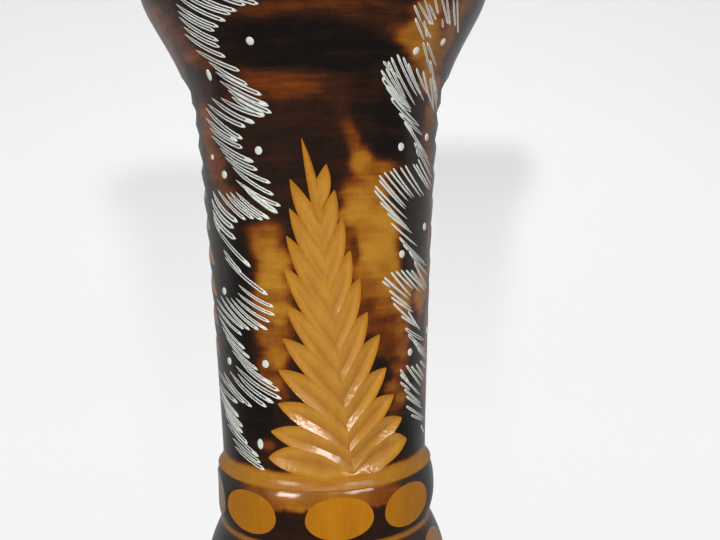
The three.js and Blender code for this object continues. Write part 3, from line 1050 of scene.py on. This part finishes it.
def left_sprays():
    """Sprays of the left band, from the top down."""
    return [
        spray(
            (215, -14, 259, 4), (205, -12, 246, 5), (192, -8, 237, 11), (183, -6, 231, 14),
            (177, -4, 226, 21), (176, 4, 219, 27), (178, 11, 215, 31), (179, 17, 219, 41),
            (184, 27, 220, 47), (185, 34, 226, 57),
        ),
        spray(
            (196, 50, 240, 71), (209, 62, 248, 85), (216, 72, 262, 95), (220, 81, 269, 106),
            (228, 90, 272, 113), (232, 97, 265, 115), sag=0.03,
        ),
        spray(
            (221, 98, 265, 116), (212, 98, 255, 123), (208, 104, 246, 127), (206, 108, 243, 139),
            (206, 118, 238, 141), (210, 128, 243, 148), (212, 136, 254, 162), (220, 148, 258, 170),
            sag=0.06,
        ),
        spray(
            (225, 157, 271, 183), (233, 167, 274, 195), (236, 180, 281, 206), (236, 192, 270, 219),
            (230, 192, 263, 220), (226, 193, 254, 219), (218, 190, 246, 220), gap=0.8,
        ),
        spray((243, 186, 278, 213), gap=0.5, weight=1.9, sag=0.03),
        spray(
            (213, 191, 238, 222), (212, 199, 234, 228), (213, 210, 236, 239), gap=0.8, weight=1.5,
            sag=0.1,
        ),
        spray(
            (214, 216, 220, 232), (217, 228, 251, 267), (224, 250, 242, 273), (225, 257, 268, 295),
            sag=0.04,
        ),
        spray(
            (239, 285, 274, 307), (238, 293, 275, 315), (236, 298, 270, 322), (231, 298, 268, 330),
            (226, 297, 259, 330), (221, 296, 250, 330), (217, 299, 244, 329), (217, 306, 242, 335),
            (219, 315, 245, 349), (222, 326, 250, 358), (226, 336, 258, 370), (232, 350, 273, 384),
            gap=0.7, sag=0.06,
        ),
        spray(
            (241, 362, 280, 391), (236, 366, 282, 399), (238, 374, 274, 403), (230, 371, 267, 407),
            (224, 372, 252, 407), (219, 370, 245, 403), (219, 382, 238, 403), sag=0.06,
        ),
        spray(
            (219, 384, 239, 417), (221, 395, 243, 427), (224, 405, 243, 433), gap=0.6, weight=1.6,
            sag=0.06,
        ),
        spray(
            (225, 413, 248, 444), (228, 424, 259, 457), (233, 438, 261, 463), (235, 446, 265, 470),
            sag=0.04,
        ),
    ]


def right_sprays():
    """Sprays of the right band, from the top down."""
    return [
        spray(
            (421, 22, 414, 5), (424, 40, 415, 18), (418, 2, 431, 25), (424, -2, 433, 25),
            (429, 4, 436, 20), (434, -6, 438, 14), (441, -4, 448, 24), (446, -6, 450, 25),
            (442, 19, 443, 28), (453, -4, 455, 26), (457, -8, 458, 33), (422, 22, 431, 38),
            (424, 20, 427, 37), gap=0.6, weight=0.8, sag=0.0,
        ),
        spray(
            (431, 74, 423, 42), (436, 66, 427, 42), (438, 100, 430, 60), (434, 112, 430, 78),
            (437, 112, 432, 76), (437, 103, 434, 80), gap=0.8, weight=0.7, sag=0.0,
        ),
        spray(
            (399, 78, 383, 61), (406, 98, 388, 61), (415, 105, 391, 57), (417, 96, 397, 54),
            (421, 96, 403, 57), (424, 101, 408, 63), (428, 95, 416, 68), (434, 111, 423, 71),
            (411, 109, 386, 68), (400, 97, 381, 70), gap=0.6, weight=0.85, sag=0.02,
        ),
        spray(
            (409, 108, 382, 77), (411, 112, 386, 85), (419, 126, 391, 97), gap=0.9, weight=1.2,
            sag=0.03,
        ),
        spray(
            (422, 135, 399, 113), (428, 158, 404, 121), (430, 166, 408, 125), (432, 178, 414, 142),
            (420, 157, 416, 150), gap=0.9, weight=0.85, sag=0.0,
        ),
        spray(
            (432, 187, 418, 159), (431, 190, 416, 164), (429, 190, 413, 164), (424, 196, 405, 165),
            (421, 197, 400, 167), (414, 197, 393, 168), (412, 198, 390, 171), (408, 201, 384, 172),
            (406, 207, 379, 175), (405, 209, 379, 180), (407, 219, 375, 186), (408, 228, 374, 190),
            (409, 229, 380, 202), (412, 233, 387, 213), (417, 246, 391, 223), gap=0.45, weight=0.8,
            sag=0.01,
        ),
        spray(
            (424, 262, 399, 237), (427, 266, 403, 244), (428, 275, 409, 251), (427, 287, 414, 261),
            (426, 288, 411, 270), gap=0.8, weight=0.8, sag=0.02,
        ),
        spray(
            (425, 290, 406, 270), (420, 292, 401, 270), (413, 289, 396, 271), (411, 296, 391, 272),
            (409, 299, 384, 277), (390, 287, 382, 281), (411, 308, 389, 290), (413, 312, 391, 297),
            (416, 325, 393, 303), (420, 328, 401, 316), (420, 330, 408, 311), gap=0.45,
            weight=0.95, sag=0.01,
        ),
        spray(
            (424, 340, 405, 328), (425, 350, 408, 334), (428, 357, 413, 340), (427, 358, 417, 347),
            gap=0.8, sag=0.03,
        ),
        spray(
            (426, 368, 420, 361), (424, 377, 416, 364), (423, 380, 411, 366), (421, 386, 406, 365),
            (412, 388, 400, 369), (420, 395, 400, 374), (410, 390, 400, 382), (421, 404, 404, 389),
            (422, 408, 406, 396), (424, 418, 406, 406), (423, 420, 411, 415), (424, 433, 421, 425),
            gap=0.6, weight=0.95, sag=0.0,
        ),
    ]


class Dot(NamedTuple):
    """A dot of enamel at a pixel, with its share of the usual width and how long it is drawn."""

    x: float
    y: float
    width: float = 1.0
    drawn: float = 1.0


def dots():
    """Dots between the sprays."""
    rows = (
        (250, 41), (209, 75, 0.8, 1.8), (258.5, 150.5), (224.5, 174.6), (212.6, 157, 0.7),
        (224.4, 291), (229.5, 361), (265.5, 364), (260.5, 444, 0.9, 1.5), (416, 51), (443, 42),
        (401, 146.8), (426.6, 137), (424.5, 226.5), (401.8, 254), (427, 330), (410, 352),
    )
    return [Dot(*row) for row in rows]


def stroke_path(stroke, sag):
    """Pixels along a stroke, closer together towards its tip."""
    tail = np.array((stroke.tail_x, stroke.tail_y))
    along = np.array((stroke.tip_x, stroke.tip_y)) - tail
    t = np.append(np.linspace(0, 0.9, 10), (0.94, 0.97, 0.985, 0.995, 1.0))[:, None]
    below = np.array((-along[1], along[0])) * math.copysign(1, along[0])
    return tail + along * t + below * sag * 4 * t * (1 - t)


class Skin:
    """The carved surface that paint lies on."""

    def __init__(self, piece, side):
        mesh = piece.data
        self.side = side
        self.tree = BVHTree.FromPolygons(
            [v.co for v in mesh.vertices], [p.vertices for p in mesh.polygons]
        )

    def on(self, azimuth, height):
        """The place under a point of the side as it was turned, and the way out from there."""
        clear = 3 * mm
        start = self.side.over(azimuth, height, clear)
        inward = (self.side.over(azimuth, height, 0) - start).normalized()
        place = self.tree.ray_cast(start, inward)[0]
        if place is None:
            raise RuntimeError(f"no wood under azimuth {azimuth:.3f} at height {height:.4f}")
        return place, -inward


class Bead(NamedTuple):
    """A point along a bead of enamel."""

    place: Vector
    radius: float
    cover: float


def paint_strokes(skin, sizes):
    """Beads of enamel of every stroke, in front and repeated behind."""
    randomness = random.Random(7)
    least, most = 0.08, 0.24
    beads = []
    for spray in left_sprays() + right_sprays():
        for stroke in spray.strokes:
            azimuths, heights = place_on_side(stroke_path(stroke, spray.sag), skin.side)
            solid = randomness.uniform(least, most)
            for turn in (0, math.radians(BACK_DEGREES)):
                beads += hollow_stroke(skin, azimuths + turn, heights, spray, solid, sizes)
    return beads


def opening(share, left):
    """How far apart the rims run, a share of the way along with so many tip widths left."""
    opened_at, steepness = 0.25, 0.7
    closed_at, closing = 0.6, 1.2
    return min(share / opened_at, 1) ** steepness * min(max((left - closed_at) / closing, 0), 1)


def rim_share(share, left):
    """Thickness of a rim as a share of its widest: thin at the tail and at the very tip."""
    at_tail, gain, full_at, at_tip = 0.55, 0.45, 0.3, 0.3
    return (at_tail + gain * min(share / full_at, 1)) * min(left + at_tip, 1)


def tip_share(share, left, solid):
    """Thickness of the solid tip as a share of its widest, round at its end."""
    least, full_at, flat_end = 0.3, 0.6, 0.04
    round_off = math.sqrt(max(1 - (1 - min(left, 1.0)) ** 2, flat_end))
    swollen = share - 1 + solid
    return round_off * (min(swollen / (full_at * solid) + least, 1) if swollen > 0 else least)


def hollow_stroke(skin, azimuths, heights, spray, solid, sizes):
    """Two raised rims with a thin film between them, which run into a solid tip."""
    spots = [skin.on(a, h) for a, h in zip(azimuths, heights)]
    places = [place for place, _ in spots]
    gone = [0.0]
    for a, b in zip(places, places[1:]):
        gone.append(gone[-1] + (b - a).length)
    total = gone[-1]
    last = len(places) - 1
    rim = sizes.rim / 2 * spray.weight
    gap = sizes.gap / 2 * spray.gap * spray.weight
    blob = gap + rim
    tail, filmed, film_width = 0.06, 0.5, 1.25
    tail_cover, cover_gain = 0.55, 0.45
    rim_sink, film_sink, tip_sink = 0.35, 0.86, 0.62
    rims = ([], [])
    film, tip = [], []
    for i, (place, normal) in enumerate(spots):
        along = (places[min(i + 1, last)] - places[max(i - 1, 0)]).normalized()
        aside = normal.cross(along).normalized()
        share = gone[i] / total
        left = total - gone[i]
        opened = opening(share, left / blob)
        thin = rim * rim_share(share, left / blob)
        for row, sign in zip(rims, (-1, 1)):
            spot = place + aside * sign * gap * opened - normal * thin * rim_sink
            row.append(Bead(spot, thin, tail_cover + cover_gain * share))
        if share > tail and left > blob:
            wide = max(gap * opened * film_width, rim / 2)
            film.append(Bead(place - normal * wide * film_sink, wide, 0.0))
        if share > 1 - solid or left < 2 * blob:
            wide = blob * tip_share(share, left / blob, solid)
            tip.append(Bead(place - normal * wide * tip_sink, wide, 1.0))
    beads = [*rims, tip]
    if spray.gap > filmed:
        beads.append(film)
    return [row for row in beads if len(row) > 1]


def open_tree(name, *inputs):
    """Empty geometry nodes with these numbers as inputs, their graph and their input sockets."""
    tree = bpy.data.node_groups.new(name, "GeometryNodeTree")
    new_socket = tree.interface.new_socket
    new_socket("Geometry", in_out="INPUT", socket_type="NodeSocketGeometry")
    for item in inputs:
        new_socket(item, in_out="INPUT", socket_type="NodeSocketFloat")
    new_socket("Geometry", in_out="OUTPUT", socket_type="NodeSocketGeometry")
    graph = Graph(tree)
    return tree, graph, graph.add("NodeGroupInput").outputs


def close_tree(graph, geometry, material):
    """Ends geometry nodes with real, smooth meshes in one material."""
    smooth = graph.out("GeometryNodeSetShadeSmooth", {"Geometry": geometry})
    real = graph.out("GeometryNodeRealizeInstances", {"Geometry": smooth})
    finished = graph.out("GeometryNodeSetMaterial", {"Geometry": real, "Material": material})
    graph.add("NodeGroupOutput", {"Geometry": finished})


def lines_tree(material, sides):
    """Geometry nodes that sweep a round section along edges, as wide as their thickness."""
    tree, graph, entry = open_tree("Painted lines", "Radius")
    curve = graph.out("GeometryNodeMeshToCurve", {"Mesh": entry["Geometry"]})
    circle = {"Resolution": sides, "Radius": entry["Radius"]}
    inputs = {
        "Curve": curve,
        "Profile Curve": graph.out("GeometryNodeCurvePrimitiveCircle", circle),
        "Scale": graph.named("thickness"),
        "Fill Caps": True,
    }
    close_tree(graph, graph.out("GeometryNodeCurveToMesh", inputs), material)
    return tree


def dots_tree(material):
    """Geometry nodes that set a flattened bead on each point, along its normal."""
    tree, graph, entry = open_tree("Painted dots", "Width", "Rise")
    ball = {"Segments": 24, "Rings": 12, "Radius": 0.5}
    bead = graph.out("GeometryNodeMeshUVSphere", ball)
    align = "FunctionNodeAlignRotationToVector"
    outward = graph.out(align, {"Vector": graph.named("outward", "FLOAT_VECTOR")}, axis="Z")
    upwards = {"Rotation": outward, "Vector": (0.0, 0.0, 1.0)}
    upright = graph.out(align, upwards, axis="Y", pivot_axis="Z")
    wide = graph.math("MULTIPLY", entry["Width"], graph.named("width"))
    long = graph.math("MULTIPLY", wide, graph.named("drawn"))
    high = graph.math("MULTIPLY", entry["Rise"], 2.0)
    size = graph.out("ShaderNodeCombineXYZ", {"X": wide, "Y": long, "Z": high})
    spots = {"Points": entry["Geometry"], "Instance": bead, "Rotation": upright, "Scale": size}
    beads = graph.out("GeometryNodeInstanceOnPoints", spots)
    real = graph.out("GeometryNodeRealizeInstances", {"Geometry": beads})
    covered = {"Geometry": real, "Name": "cover", "Value": 1.0}
    keep = "GeometryNodeStoreNamedAttribute"
    thick = graph.out(keep, covered, data_type="FLOAT", domain="POINT")
    close_tree(graph, thick, material)
    return tree


def grow(piece, tree, values):
    """Runs geometry nodes on a piece with these input values and keeps the plain mesh."""
    modifier = piece.modifiers.new(tree.name, "NODES")
    modifier.node_group = tree
    for item in tree.interface.items_tree:
        if item.in_out == "INPUT" and item.name in values:
            modifier[item.identifier] = values[item.name]
    keep_result(piece)


# Operators


def deliver(piece, slot, *nodes):
    """Puts a piece under the root body and hides the frame's nodes that it stands for. The slot is
    not used.
    """
    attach(piece, "root")
    if nodes:
        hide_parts(*nodes)


class VASE_OT_body(bpy.types.Operator):
    """Turn, scorch and carve the body"""

    bl_idname = "vase.body"
    bl_label = "Carved body"

    def execute(self, context):
        scene = context.scene
        sizes = scene.vase_turning
        side_points = neck_side(sizes)
        chamfer = 1 * mm
        lip_drop, throat_drop = 5 * mm, 77 * mm
        mouth_flare, mouth_handle, throat_handle = 2 * mm, 36 * mm, 24 * mm
        tenon = sizes.bore + TENON_WALL
        mouth = (sizes.mouth, TOP_Z - lip_drop)
        hollow = (sizes.bore, TOP_Z - throat_drop)
        head = (HEAD_RADIUS, TOP_Z - sizes.head_drop)
        crest = (sizes.mouth + sizes.lip, TOP_Z)
        flat = run(
            (sizes.bore, TENON_END_Z),
            (tenon - chamfer, TENON_END_Z),
            (tenon, TENON_END_Z + chamfer),
            (tenon, RIDGE_Z),
            (sizes.waist + sizes.flange_rise - sizes.seam, RIDGE_Z),
        )
        above = (mouth[0] + mouth_flare, mouth[1] - mouth_handle)
        below = (hollow[0], hollow[1] + throat_handle)
        outline = np.vstack(
            [
                flat,
                cove_side(sizes),
                side_points[1:],
                quarter((crest[0], head[1]), head, crest, steps=30)[1:],
                quarter((crest[0], mouth[1]), crest, mouth, steps=12)[1:],
                bezier(mouth, above, below, hollow, steps=36)[1:],
                run(hollow, (sizes.bore, TENON_END_Z))[1:-1],
            ]
        )
        side = Side(side_points)
        piece = turned("carved_body", outline, woods(scene))
        carve_trees(piece, side, scene.vase_trees, sizes, woods(scene))
        rub_cove(piece, sizes)
        scorch_and_sheen_body(piece, side, sizes)
        finish_edges(piece)
        deliver(piece, "burnt_wood", "vase_body")
        return {"FINISHED"}


class VASE_OT_collar(bpy.types.Operator):
    """Turn the collar and scoop its oval facets"""

    bl_idname = "vase.collar"
    bl_label = "Bead collar"

    def execute(self, context):
        scene = context.scene
        sizes = scene.vase_turning
        ovals = scene.vase_ovals
        bore = sizes.bore + TENON_WALL + GLUE_GAP
        top_drop, shoulder_drop, shoulder_power = 0.9 * mm, 0.9 * mm, 6
        bead = bore + sizes.collar_wall
        edge = sizes.waist + sizes.flange_rise - sizes.seam
        middle = (RIDGE_Z + FOOT_TOP_Z) / 2
        half = (RIDGE_Z - FOOT_TOP_Z) / 2 - sizes.seam
        t = np.linspace(-1, 1, 61)
        swell = bead - np.where(t < 0, COLLAR_FOOT_DROP, top_drop) * t**2
        swell -= shoulder_drop * np.maximum(t, 0) ** shoulder_power
        outline = np.vstack(
            [
                run((bore, FOOT_TOP_Z), (bead - COLLAR_FOOT_DROP - sizes.seam, FOOT_TOP_Z)),
                np.column_stack([swell, middle + half * t]),
                run((edge, RIDGE_Z), (bore, RIDGE_Z)),
                run((bore, RIDGE_Z), (bore, FOOT_TOP_Z))[1:-1],
            ]
        )
        piece = turned("bead_collar", outline, woods(scene))
        first, lean = ovals.azimuth, 0
        scoop_ovals(piece, bead, middle, lean, ovals.depth, first, ovals, woods(scene))
        scorch_ring(piece)
        finish_edges(piece)
        deliver(piece, "burnt_wood", "bead_ring")
        return {"FINISHED"}


class VASE_OT_foot(bpy.types.Operator):
    """Turn the foot and scoop the facets of its bead"""

    bl_idname = "vase.foot"
    bl_label = "Bell foot"

    def execute(self, context):
        scene = context.scene
        sizes = scene.vase_turning
        ovals = scene.vase_ovals
        socket = sizes.bore + TENON_WALL + GLUE_GAP
        socket_floor = TENON_END_Z - GLUE_GAP
        groove, hem_height, hem_rounding = 0.7 * mm, 2.5 * mm, 0.7 * mm
        oval_level = 0.55
        bead_swell, low_handle = 1 * mm, 9 * mm
        shoulder_swell, high_handle = 2.8 * mm, 6 * mm
        bead_foot = FOOT_TOP_Z - sizes.foot_bead
        neck = socket + sizes.collar_wall - COLLAR_FOOT_DROP
        belly = neck + sizes.foot_bead_rise
        hem = (HEM_RADIUS, SEAT_Z + hem_height)
        top = (belly - groove, bead_foot - groove)
        reach = 0.42 * (top[1] - hem[1])
        skirt = bezier(hem, (hem[0], hem[1] + reach), (top[0], top[1] - reach), top, steps=56)
        bead = bezier(
            (belly, bead_foot),
            (belly + bead_swell, bead_foot + low_handle),
            (neck + shoulder_swell, FOOT_TOP_Z - high_handle),
            (neck, FOOT_TOP_Z - sizes.seam),
            steps=40,
        )
        outline = np.vstack(
            [
                run((sizes.bore, SEAT_Z), (hem[0] - hem_rounding, SEAT_Z)),
                skirt,
                bead,
                run((neck - sizes.seam, FOOT_TOP_Z), (socket, FOOT_TOP_Z), (socket, socket_floor)),
                run((socket, socket_floor), (sizes.bore, socket_floor), (sizes.bore, SEAT_Z))[1:-1],
            ]
        )
        piece = turned("bell_foot_turned", outline, woods(scene))
        side = Side(bead)
        height = bead_foot + oval_level * sizes.foot_bead
        slope = float(np.interp(height, side.heights, side.slopes))
        first = ovals.azimuth + math.pi / ovals.count
        lean = math.atan(-slope)
        scoop_ovals(
            piece, side.radius(height), height, lean, ovals.foot_depth, first, ovals, woods(scene)
        )
        scorch_foot(piece, sizes)
        finish_edges(piece)
        deliver(piece, "burnt_wood", "bell_foot")
        return {"FINISHED"}


class VASE_OT_base(bpy.types.Operator):
    """Turn the board that closes the bore"""

    bl_idname = "vase.base"
    bl_label = "Base board"

    def execute(self, context):
        scene = context.scene
        spigot = scene.vase_turning.bore - GLUE_GAP
        chamfer, spigot_chamfer, lip = 1.1 * mm, 1 * mm, 2.2 * mm
        edge = (PLATE_RADIUS, SEAT_Z - lip)
        outline = np.vstack(
            [
                run((0, 0), (PLATE_RADIUS - chamfer, 0), (PLATE_RADIUS, chamfer)),
                quarter((edge[0] - lip, edge[1]), edge, (edge[0] - lip, SEAT_Z), steps=12),
                run(
                    (spigot, SEAT_Z),
                    (spigot, SPIGOT_TOP_Z - spigot_chamfer),
                    (spigot - spigot_chamfer, SPIGOT_TOP_Z),
                    (0, SPIGOT_TOP_Z),
                ),
            ]
        )
        piece = turned("base_board", outline, woods(scene))
        scorch_plain(piece, level=0.66)
        finish_edges(piece)
        deliver(piece, "burnt_wood", "base_plate")
        return {"FINISHED"}


class VASE_OT_paint(bpy.types.Operator):
    """Paint the white lines and dots on the carved body"""

    bl_idname = "vase.paint"
    bl_label = "White lines and dots"

    def execute(self, context):
        scene = context.scene
        sizes = scene.vase_enamel
        body = bpy.data.objects.get("carved_body")
        if body is None:
            raise RuntimeError("the body is turned and carved before it is painted")
        enamel = material_of(scene, "thick_enamel", thick_enamel)
        skin = Skin(body, Side(neck_side(scene.vase_turning)))
        vertices, edges, radii, covers = [], [], [], []
        for row in paint_strokes(skin, sizes):
            first = len(vertices)
            vertices += [bead.place for bead in row]
            radii += [bead.radius / sizes.rim for bead in row]
            covers += [bead.cover for bead in row]
            edges += [(first + i, first + i + 1) for i in range(len(row) - 1)]
        lines = bpy.data.objects.new("white_lines", bpy.data.meshes.new("white_lines"))
        lines.data.from_pydata(vertices, edges, [])
        scene.collection.objects.link(lines)
        store(lines, "thickness", radii)
        store(lines, "cover", covers)
        grow(lines, lines_tree(enamel, sides=6), {"Radius": sizes.rim})
        deliver(lines, "white_paint")
        self.paint_dots(scene, skin, enamel)
        return {"FINISHED"}

    def paint_dots(self, scene, skin, enamel):
        """Sets the dots in front, and the same ones behind."""
        sizes = scene.vase_enamel
        spots = dots() * 2
        azimuths, heights = place_on_side([(dot.x, dot.y) for dot in spots], skin.side)
        azimuths[len(spots) // 2 :] += math.radians(BACK_DEGREES)
        found = [skin.on(a, h) for a, h in zip(azimuths, heights)]
        piece = mesh_object("white_dots", [place for place, _ in found], [], [])
        store(piece, "width", [dot.width for dot in spots])
        store(piece, "drawn", [dot.drawn for dot in spots])
        outward = piece.data.attributes.new("outward", "FLOAT_VECTOR", "POINT")
        outward.data.foreach_set("vector", [c for _, normal in found for c in normal])
        grow(piece, dots_tree(enamel), {"Width": sizes.dot, "Rise": sizes.dot_rise})
        deliver(piece, "white_paint")


class VASE_OT_stage(bpy.types.Operator):
    """Set the floor, the backdrop, the lamps and the camera"""

    bl_idname = "vase.stage"
    bl_label = "Stage"

    def execute(self, context):
        scene = context.scene
        look = scene.vase_stage
        self.sweep(look)
        self.surroundings(scene, look)
        self.lamps(look)
        self.camera(scene)
        scene.view_settings.view_transform = "Standard"
        return {"FINISHED"}

    def sweep(self, look):
        """Floor and backdrop in one sheet of paper, with a wide bend between them."""
        half, front, bend, wall, top = 3.0, -2.4, 0.35, 0.6, 2.0
        turns = np.linspace(0, math.pi / 2, 17)
        outline = [(front, 0.0)]
        outline += [(wall - bend + bend * math.sin(a), bend - bend * math.cos(a)) for a in turns]
        outline.append((wall, top))
        vertices = [(x, y, z) for y, z in outline for x in (-half, half)]
        faces = [(2 * i, 2 * i + 1, 2 * i + 3, 2 * i + 2) for i in range(len(outline) - 1)]
        paper = stage_surface("paper", look)
        sheet = mesh_object("backdrop", vertices, faces, [paper])
        sheet.data.polygons.foreach_set("use_smooth", [True] * len(faces))

    def surroundings(self, scene, look):
        """Dim light all round, pale to the camera and dark in front to the lacquer."""
        white = (1.0, 1.0, 1.0, 1.0)
        world = bpy.data.worlds.new("studio")
        scene.world = world
        world.use_nodes = True
        world.node_tree.nodes.clear()
        graph = Graph(world.node_tree)
        direction = graph.add("ShaderNodeTexCoord").outputs["Generated"]
        depth = graph.add("ShaderNodeSeparateXYZ", {"Vector": direction}).outputs["Y"]
        behind = graph.fit(depth, low=-0.35, high=0.35, first=0.05, last=0.45)
        dim = graph.shine("ShaderNodeBackground", white, look.sky)
        reflected = graph.shine("ShaderNodeBackground", white, behind)
        pale = graph.shine("ShaderNodeBackground", look.backdrop, 1.1)
        rays = graph.add("ShaderNodeLightPath").outputs
        sky = graph.mix(rays["Is Glossy Ray"], dim, reflected)
        sky = graph.mix(rays["Is Camera Ray"], sky, pale)
        graph.add("ShaderNodeOutputWorld", {"Surface": sky})

    def lamps(self, look):
        """Softboxes that the lacquer shows, two soft lights and two lamps that throw the shadow."""
        target = Vector((0, 0, 120)) * mm
        for name, place, size, share in (
            ("left softbox", (-560, -680, 640), (330, 360), 4.0),
            ("right softbox", (540, -550, 790), (420, 150), 2.2),
            ("top strip", (0, -550, 920), (700, 60), 1.0),
        ):
            softbox = self.lamp(name, place, target, size, look.key * share)
            softbox.visible_diffuse = False
        for name, place, size, watts in (
            ("top light", (0, 0, 1900), (1400, 1400), look.soft),
            ("back light", (0, 480, 900), (700, 500), look.soft),
            ("left lamp", (-1200, -6000, 900), (300, 300), look.lamp * 1.15),
            ("right lamp", (1650, -6000, 1060), (440, 300), look.lamp * 0.95),
        ):
            self.lamp(name, place, target, size, watts).visible_glossy = False

    def lamp(self, name, place, target, size, watts):
        """An area light at a place in millimetres, turned to its target."""
        data = bpy.data.lights.new(name, "AREA")
        data.shape = "RECTANGLE"
        data.size, data.size_y = size[0] * mm, size[1] * mm
        data.energy = watts
        lamp = bpy.data.objects.new(name, data)
        lamp.location = Vector(place) * mm
        lamp.rotation_euler = (target - lamp.location).to_track_quat("-Z", "Y").to_euler()
        lamp.visible_camera = False
        bpy.context.scene.collection.objects.link(lamp)
        return lamp

    def camera(self, scene):
        """The photograph's viewpoint."""
        sight, right, up = camera_axes()
        data = bpy.data.cameras.new("camera")
        data.sensor_width = SENSOR_WIDTH
        data.lens = SENSOR_WIDTH * FOCAL_PIXELS / PHOTO_WIDTH
        data.clip_start = 10 * mm
        camera = bpy.data.objects.new("camera", data)
        turn = Matrix((right, up, -sight)).transposed().to_4x4()
        camera.matrix_world = Matrix.Translation(CAMERA_PLACE) @ turn
        scene.collection.objects.link(camera)
        scene.camera = camera


OPERATORS = (
    VASE_OT_body,
    VASE_OT_collar,
    VASE_OT_foot,
    VASE_OT_base,
    VASE_OT_paint,
    VASE_OT_stage,
)

GROUPS = {
    "vase_turning": TurningSizes,
    "vase_trees": TreeSizes,
    "vase_ovals": OvalSizes,
    "vase_wood": WoodColours,
    "vase_enamel": EnamelSizes,
    "vase_stage": StageLook,
}


class VASE_PT_pieces(bpy.types.Panel):
    """Buttons that make the pieces, in order"""

    bl_idname = "VASE_PT_pieces"
    bl_label = "Carved wooden vase"
    bl_space_type = "VIEW_3D"
    bl_region_type = "UI"
    bl_category = "Vase"

    def draw(self, context):
        for operator in OPERATORS:
            self.layout.operator(operator.bl_idname)


def register():
    """Registers the settings, the operators and the panel."""
    for name, group in GROUPS.items():
        bpy.utils.register_class(group)
        setattr(bpy.types.Scene, name, PointerProperty(type=group))
    for operator in OPERATORS:
        bpy.utils.register_class(operator)
    bpy.utils.register_class(VASE_PT_pieces)


def unregister():
    """Takes back what register did."""
    bpy.utils.unregister_class(VASE_PT_pieces)
    for operator in reversed(OPERATORS):
        bpy.utils.unregister_class(operator)
    for name, group in reversed(GROUPS.items()):
        delattr(bpy.types.Scene, name)
        bpy.utils.unregister_class(group)


def main():
    """Makes every piece and the stage."""
    register()
    bpy.ops.vase.body()
    bpy.ops.vase.collar()
    bpy.ops.vase.foot()
    bpy.ops.vase.base()
    bpy.ops.vase.paint()
    bpy.ops.vase.stage()


if __name__ == "__main__":
    main()
